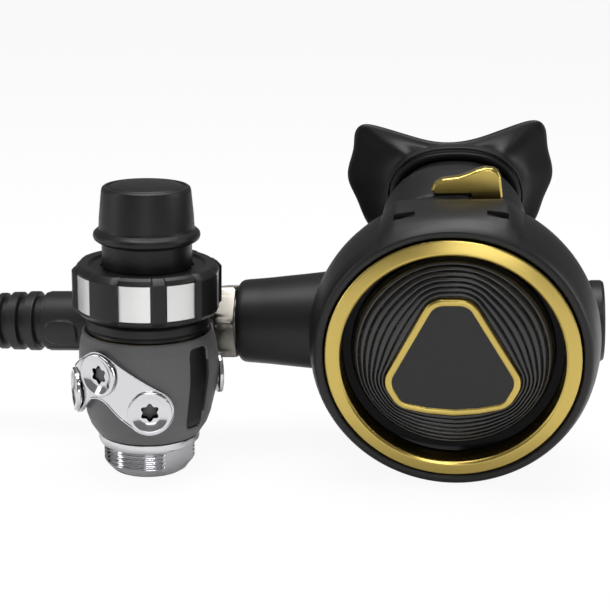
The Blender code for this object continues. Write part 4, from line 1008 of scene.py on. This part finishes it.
class RegulatorPurge(bpy.types.Operator):
    """Build the ridged purge cover with its trimmed bare badge"""

    bl_idname = "regulator.purge"
    bl_label = "Purge cover"

    def execute(self, context):
        """Ridges run from the badge's outline to the round rim."""
        outer = softened(BADGE, 6.5, steps=8)
        steps = 480
        reach = [badge_reach(outer, 2 * math.pi * k / steps) + 0.2 for k in range(steps)]
        height = sizes().ridge_height / MM
        rows = []
        marks = [0.02, 6.0, 12.0] + list(np.arange(14.0, 28.55, 0.12)) + [28.6, 28.75, 28.8]
        for r in marks:
            row = []
            for k in range(steps):
                phi = 2 * math.pi * k / steps
                depth = float(np.interp(r, [p[0] for p in DOME], [p[1] for p in DOME]))
                s = (r - reach[k]) / (28.5 - reach[k])
                if 0.0 < s < 1.0:
                    phase = (s * 7.0) % 1.0
                    depth -= height * (1.0 - abs(2.0 * phase - 1.0) ** 3.0) - 0.1
                row.append((r * math.cos(phi), depth, r * math.sin(phi)))
            rows.append(row)
        for r, depth in ((28.8, 8.3), (26.5, 8.2), (18.0, 5.4)):
            rows.append([(x, depth, z) for x, z, _ in circle(r, 0.0, steps)])
        cover = place("ridged_purge_cover", skin(bmesh.new(), rows), "graphite_cover", "purge",
                      ("purge_cover",), SECOND, sharp=60)
        trim = [(0.0, 3.4), (0.0, 2.2), (0.35, 1.85), (1.0, 1.75), (1.65, 1.85), (2.0, 2.1), (2.0, 3.4)]
        bands = [[(x, depth, z) for x, z in inset(outer, step)] for step, depth in trim]
        place("badge_frame", skin(bmesh.new(), bands, ring=True), "gold_coat", "purge", ("badge_trim",),
              SECOND, sharp=50)
        floor = inset(outer, 1.8)
        rows = [[(x, 2.9, z) for x, z in floor], [(x, 2.22, z) for x, z in floor]]
        for f in (0.9, 0.75, 0.6, 0.4, 0.2, 0.02):
            rows.append([(x * f, 2.22 - 0.22 * (1 - f * f), z * f) for x, z in floor])
        place("badge_field", skin(bmesh.new(), rows), "badge_grey", "purge", ("badge_panel",), SECOND,
              sharp=60)
        return {"FINISHED"}


def panel_top(x, depth):
    """Height of the top panel's outer face."""
    # it leaves the round front as a flat top with two sloping shoulders
    ax = abs(x)
    front = math.sqrt(38.5 ** 2 - x * x)
    round_top = math.sqrt((case_radius(depth) + 0.15) ** 2 - x * x)
    flat = PANEL_TOP if ax <= 15.8 else PANEL_TOP - (ax - 15.8) * 1.05
    flat = min(flat, PANEL_TOP - (ax - 17.7) * 1.5) if ax > 17.7 else flat
    blend = min(1.0, max(0.0, (depth - 3.0) / 13.0))
    if depth < 1.5:
        return front
    if ax > 19:
        flat = max(flat, math.sqrt(42.2 ** 2 - x * x))
    return round_top * (1 - blend) + flat * blend


class RegulatorTop(bpy.types.Operator):
    """Build the top panel with its two slots, and the venturi lever"""

    bl_idname = "regulator.top"
    bl_label = "Top panel and venturi lever"

    def execute(self, context):
        """Panel lies on the case with a narrow seam; the lever stands in a notch behind it."""
        rows = []
        depths = [0.8, 1.6, 3.0, 4.5, 6.0, 8.0, 10.0, 12.0, 14.0, 16.0, 18.0, 19.4, 20.0]
        for x in np.linspace(-PANEL_HALF, PANEL_HALF, 41):
            under = [(x, d, math.sqrt((case_radius(d) - 1.0) ** 2 - x * x)) for d in (20.0, 13.0, 7.0, 3.2)]
            edge = 0.25 if abs(abs(x) - PANEL_HALF) < 0.1 else 0.0
            upper = [(x, d, panel_top(x, d) - edge) for d in depths]
            upper[-1] = (x, depths[-1], upper[-1][2] - 0.4)
            rows.append(under + upper)
        panel = place("service_panel", skin(bmesh.new(), rows), "black_polymer", "second_stage",
                      ("top_panel",), sharp=35)
        for side in (-1, 1):
            across = (side * SLOT_X - SLOT_HALF, side * SLOT_X + SLOT_HALF)
            carve(panel, block(bmesh.new(), across, (7.9, 10.8), (39.0, 46.0)))
        panel.data.transform(SECOND)
        blade = [(-6.0, 43.0), (-5.2, 44.8), (-2.8, 46.1), (-0.5, 46.4), (1.7, 46.6), (4.6, 47.6),
                 (6.8, 48.6), (9.2, 49.2), (11.4, 48.9), (12.9, 48.0), (13.6, 46.6), (14.2, 39.9),
                 (5.8, 39.9), (5.4, 41.9), (-5.4, 41.9)]
        blade = softened(blade, 0.8, steps=3)
        rows = [[(x + (4.0 - x) * 0.05, 23.9, z + (42.0 - z) * 0.08) for x, z in blade],
                [(x, 24.45, z) for x, z in blade], [(x, 26.9, z) for x, z in blade]]
        lever = place("venturi_blade", skin(bmesh.new(), rows), "gold_coat", "venturi",
                      ("venturi_lever",), SECOND, sharp=30, bevel=0.2)
        return {"FINISHED"}


SHIELD = [(-31.5, 42.0), (-31.8, 47.5), (-29.0, 50.2), (-25.0, 49.4), (-16.0, 46.4), (-9.0, 44.0),
          (-2.4, 43.2), (4.4, 44.0), (11.0, 46.2), (20.0, 49.6), (24.5, 50.4), (27.2, 47.6), (27.0, 41.5),
          (29.0, 36.0), (29.0, 31.0), (26.2, 26.0), (24.6, 19.0), (21.0, 13.6), (14.0, 11.6), (6.0, 12.4),
          (-2.4, 13.4), (-11.0, 12.4), (-19.0, 11.6), (-26.0, 13.8), (-29.6, 19.0), (-31.4, 26.0),
          (-34.2, 31.0), (-34.2, 36.0)]


class RegulatorMouthpiece(bpy.types.Operator):
    """Build the silicone mouthpiece and the clamp that holds it"""

    bl_idname = "regulator.mouthpiece"
    bl_label = "Mouthpiece"

    def execute(self, context):
        """Collar, lip shield, bite tabs, and a ratchet band with its head."""
        z0 = 30.0
        centre = Vector((-2.4, z0))

        def matched(a, b, depth):
            """Oval with one point on every ray to the shield's outline."""
            out = []
            for x, z in SHIELD:
                t = math.atan2((z - centre.y) / b, (x - centre.x) / a)
                c, s = math.cos(t), math.sin(t)
                shift = 2.0 * min(1.0, max(0.0, (73.0 - depth) / 6.0))
                out.append((centre.x + shift + a * math.copysign(abs(c) ** 0.87, c), depth,
                            z0 + b * math.copysign(abs(s) ** 0.87, s)))
            return out

        def rim(depth, grow):
            """Outline of the shield at a depth."""
            return [(centre.x + (x - centre.x) * grow, depth, z0 + (z - z0) * grow) for x, z in SHIELD]

        loops = [matched(19.8, 15.4, 54.0), matched(19.8, 15.4, 54.6), matched(19.4, 15.0, 61.0),
                 matched(21.0, 15.6, 64.0), rim(67.5, 0.80), rim(69.2, 0.99), rim(69.8, 1.02),
                 rim(70.6, 1.03), rim(71.3, 1.01), rim(72.0, 0.80), matched(18.5, 11.5, 73.5),
                 matched(18.2, 10.7, 78.6),
                 matched(17.8, 10.3, 79.1), matched(16.6, 9.2, 79.0), matched(16.6, 10.2, 72.0),
                 matched(17.2, 12.8, 67.0), matched(17.4, 13.0, 54.6), matched(17.8, 13.4, 54.0)]
        bm = skin(bmesh.new(), loops, ring=True)
        for side in (-1, 1):
            x = centre.x + side * 21.0
            tab = [(69.5, 3.0, 7.0), (72.0, 3.1, 7.1), (76.0, 2.9, 7.0), (80.0, 2.4, 7.0), (82.4, 3.5, 7.6),
                   (84.4, 3.4, 7.4), (85.4, 2.4, 6.0)]
            skin(bm, [oval(x, d, z0, a, b, 16) for d, a, b in tab])
        piece = place("soft_mouthpiece", bm, "black_silicone", "second_stage", ("mouthpiece",), SECOND,
                      sharp=0, levels=2)
        steps = ((55.4, 0.0), (55.2, 0.35), (55.4, 0.75), (59.1, 0.75), (59.3, 0.35), (59.1, 0.0))
        band = [oval(MOUTH_X, depth, z0, 20.15 + grow, 15.75 + grow, 128) for depth, grow in steps]
        bm = skin(bmesh.new(), band, ring=True)
        block(bm, (-3.4, 3.4), (54.8, 59.8), (11.6, 14.4))
        for k in range(10):
            x = 4.6 + 0.9 * k
            z = z0 - 16.6 * (1 - (x / 21.0) ** 2.3) ** (1 / 2.3)
            block(bm, (x, x + 0.45), (56.0, 58.5), (z - 0.15, z + 0.6))
        place("ratchet_clamp", bm, "black_polymer", "second_stage", ("mouthpiece_clamp",), SECOND,
              sharp=30, bevel=0.12)
        return {"FINISHED"}


class RegulatorTee(bpy.types.Operator):
    """Build the exhaust tee below the case"""

    bl_idname = "regulator.exhaust_tee"
    bl_label = "Exhaust tee"

    def execute(self, context):
        """Open duct whose two ends face sideways."""
        def section(x, back, top, wall):
            """Six-cornered section that ends just above the ground."""
            def ground(depth):
                """Height of the ground below this depth."""
                return -(40.01 + 0.1219 * depth + 0.0554 * x) / 0.991 + 0.15

            corners = [(41.0 + wall, top - wall), (back - 3.0, top - wall), (back - wall, top - 4.0),
                       (back - wall, ground(back - 4.0) + wall + 3.0),
                       (back - 4.0, ground(back - 4.0) + wall), (41.0 + wall, ground(41.0) + wall)]
            return [(x, d, z) for d, z in softened(corners, 2.2 if wall == 0 else 1.2, steps=4)]

        half = [(31, 52.0, -22.0), (27.5, 54.0, -19.0), (24, 55.0, -17.5), (18, 56.3, -16.7),
                (12, 57.0, -16.4)]
        spots = [(-x, back, top) for x, back, top in half] + [(0, 57.0, -16.4)] + half[::-1]
        rows = [section(*spot, 0.0) for spot in spots] + [section(*spot, 1.8) for spot in spots[::-1]]
        bm = skin(bmesh.new(), rows, ring=True)
        duct = place("exhaust_duct", bm, "black_polymer", "second_stage", ("exhaust_tee",), SECOND,
                     sharp=30)
        reach = max(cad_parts["exhaust_valve"].dimensions) / 2 / MM + 0.5
        hole = lathe(bmesh.new(), [(0, 40.0), (reach, 40.0), (reach, 44.5), (0, 44.5)], steps=96)
        carve(duct, hole, SECOND @ EXHAUST)
        return {"FINISHED"}


# ------------------------------------------------------------ pieces that keep the shape of their solid
INNER_FINISHES = {
    "brass": ("spring_pad", "push_pin", "high_pressure_seat", "first_stage_body", "inlet_filter",
              "valve_barrel", "balance_chamber"),
    "spring_steel": ("main_spring", "poppet_spring", "high_pressure_poppet", "filter_clip", "purge_spring",
                     "diaphragm_disc", "demand_spring", "demand_lever"),
    "polished_chrome": ("inlet_bolt", "inlet_orifice"),
    "black_rubber": ("inlet_seal", "first_stage_diaphragm"),
    "black_silicone": ("breathing_diaphragm", "exhaust_valve"),
    "black_polymer": ("demand_poppet", "venturi_vane"),
}


class RegulatorInner(bpy.types.Operator):
    """Give the inner pieces their real finishes"""

    bl_idname = "regulator.inner"
    bl_label = "Inner pieces"

    def execute(self, context):
        """Every solid that is shown as it is gets a material in all its slots."""
        for look, names in INNER_FINISHES.items():
            for name in names:
                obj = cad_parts[name]
                for entry in obj.material_slots:
                    entry.material = finish(look)
        return {"FINISHED"}


# ------------------------------------------------------------ camera and stage
CAMERA_LENS, CAMERA_AT = 82.62, (45.89, -393.49, 160.16)
CAMERA_TILT, CAMERA_ROLL = 74.4, 1.0


class RegulatorCamera(bpy.types.Operator):
    """Place the camera"""

    bl_idname = "regulator.camera"
    bl_label = "Camera"

    def execute(self, context):
        """Long lens, a little above the object and level with its front."""
        data = bpy.data.cameras.new("camera")
        data.lens = CAMERA_LENS
        data.sensor_width = 36.0
        data.clip_start = 0.01
        camera = bpy.data.objects.new("camera", data)
        context.scene.collection.objects.link(camera)
        tilt = Matrix.Rotation(math.radians(CAMERA_TILT), 4, "X")
        roll = Matrix.Rotation(math.radians(CAMERA_ROLL), 4, "Z")
        camera.matrix_world = Matrix.Translation(Vector(CAMERA_AT) * MM) @ tilt @ roll
        context.scene.camera = camera
        return {"FINISHED"}


LAMPS = [
    # name, place, target, width, height, watts
    ("overhead softbox", (0.02, 0.02, 0.75), (0.03, 0.0, 0.03), 0.70, 0.40, 6.0),
    ("front softbox", (0.09, -1.05, 0.12), (0.05, 0.0, 0.07), 0.42, 0.20, 0.9),
    ("high front softbox", (0.09, -0.62, 0.60), (0.06, 0.0, 0.05), 0.30, 0.12, 1.0),
    ("right strip", (0.75, -0.10, 0.25), (0.03, 0.0, 0.05), 0.14, 0.45, 1.5),
    ("left strip", (-0.70, -0.15, 0.25), (-0.02, 0.0, 0.05), 0.14, 0.45, 0.9),
]
BACKDROP_SHARE, SKY_STRENGTH = 0.93, 0.24


class RegulatorStage(bpy.types.Operator):
    """Build the pale floor, the soft lamps and the surroundings"""

    bl_idname = "regulator.stage"
    bl_label = "Stage"

    def execute(self, context):
        """Floor, softboxes and strips, and an even pale sky."""
        half = sizes().floor_width / 2
        mesh = bpy.data.meshes.new("floor")
        corners = [(-half, -half, 0), (half, -half, 0), (half, half, 0), (-half, half, 0)]
        mesh.from_pydata(corners, [], [(0, 1, 2, 3)])
        floor = bpy.data.objects.new("floor", mesh)
        floor.location.z = -0.0002
        context.scene.collection.objects.link(floor)
        paper, shader = principled("paper_white", colours().backdrop, Roughness=0.9, Specular_IOR_Level=0.1)
        rays = add_node(paper, "ShaderNodeLightPath")
        seen = add_node(paper, "ShaderNodeMath", operation="MAXIMUM")
        join(paper, rays.outputs["Is Camera Ray"], seen, 0)
        join(paper, rays.outputs["Is Transmission Ray"], seen, 1)
        share = add_node(paper, "ShaderNodeMath", {0: seen.outputs["Value"]}, operation="MULTIPLY")
        share.inputs[1].default_value = BACKDROP_SHARE
        glow = add_node(paper, "ShaderNodeEmission", Strength=1.0)
        glow.inputs["Color"].default_value = (1.0, 1.0, 1.0, 1.0)
        mix = add_node(paper, "ShaderNodeMixShader", {0: share.outputs["Value"],
                                                      1: shader.outputs["BSDF"], 2: glow.outputs["Emission"]})
        join(paper, mix.outputs["Shader"], paper.node_tree.nodes["Material Output"], "Surface")
        mesh.materials.append(paper)
        for name, spot, target, width, tall, watts in LAMPS:
            lamp = bpy.data.lights.new(name, "AREA")
            lamp.shape = "RECTANGLE"
            lamp.size = width
            lamp.size_y = tall
            lamp.energy = watts
            obj = bpy.data.objects.new(name, lamp)
            obj.location = spot
            obj.rotation_euler = (Vector(target) - Vector(spot)).to_track_quat("-Z", "Y").to_euler()
            context.scene.collection.objects.link(obj)
        world = bpy.data.worlds.new("surroundings")
        world.use_nodes = True
        back = world.node_tree.nodes["Background"]
        back.inputs["Color"].default_value = (1.0, 1.0, 1.0, 1.0)
        back.inputs["Strength"].default_value = SKY_STRENGTH
        context.scene.world = world
        context.scene.view_settings.view_transform = "Standard"
        return {"FINISHED"}


OPERATORS = (RegulatorCamera, RegulatorHose, RegulatorRetainer, RegulatorBody, RegulatorPorts,
             RegulatorHandwheel, RegulatorCap, RegulatorCase, RegulatorRing, RegulatorPurge, RegulatorTop,
             RegulatorMouthpiece, RegulatorTee, RegulatorInner, RegulatorStage)


class RegulatorPanel(bpy.types.Panel):
    """Sidebar panel of the regulator set"""

    bl_idname = "VIEW3D_PT_regulator"
    bl_label = "Scuba Regulator"
    bl_space_type = "VIEW_3D"
    bl_region_type = "UI"
    bl_category = "Regulator"

    def draw(self, context):
        """List the settings and the operators."""
        layout = self.layout
        for settings in (context.scene.regulator_sizes, context.scene.regulator_colours):
            for name in settings.__annotations__:
                layout.prop(settings, name)
        for operator in OPERATORS:
            layout.operator(operator.bl_idname)


CLASSES = (RegulatorSizes, RegulatorColours, RegulatorPanel) + OPERATORS


def register():
    """Register the classes and the settings."""
    for item in CLASSES:
        bpy.utils.register_class(item)
    bpy.types.Scene.regulator_sizes = PointerProperty(type=RegulatorSizes)
    bpy.types.Scene.regulator_colours = PointerProperty(type=RegulatorColours)


def unregister():
    """Remove the settings and the classes."""
    del bpy.types.Scene.regulator_colours
    del bpy.types.Scene.regulator_sizes
    for item in reversed(CLASSES):
        bpy.utils.unregister_class(item)


def main():
    """Build every piece in order."""
    register()
    bpy.ops.regulator.camera()
    bpy.ops.regulator.hose()
    bpy.ops.regulator.retainer()
    bpy.ops.regulator.body_cover()
    bpy.ops.regulator.ports()
    bpy.ops.regulator.handwheel()
    bpy.ops.regulator.dust_cap()
    bpy.ops.regulator.case()
    bpy.ops.regulator.front_ring()
    bpy.ops.regulator.purge()
    bpy.ops.regulator.top()
    bpy.ops.regulator.mouthpiece()
    bpy.ops.regulator.exhaust_tee()
    bpy.ops.regulator.inner()
    bpy.ops.regulator.stage()


if __name__ == "__main__":
    main()
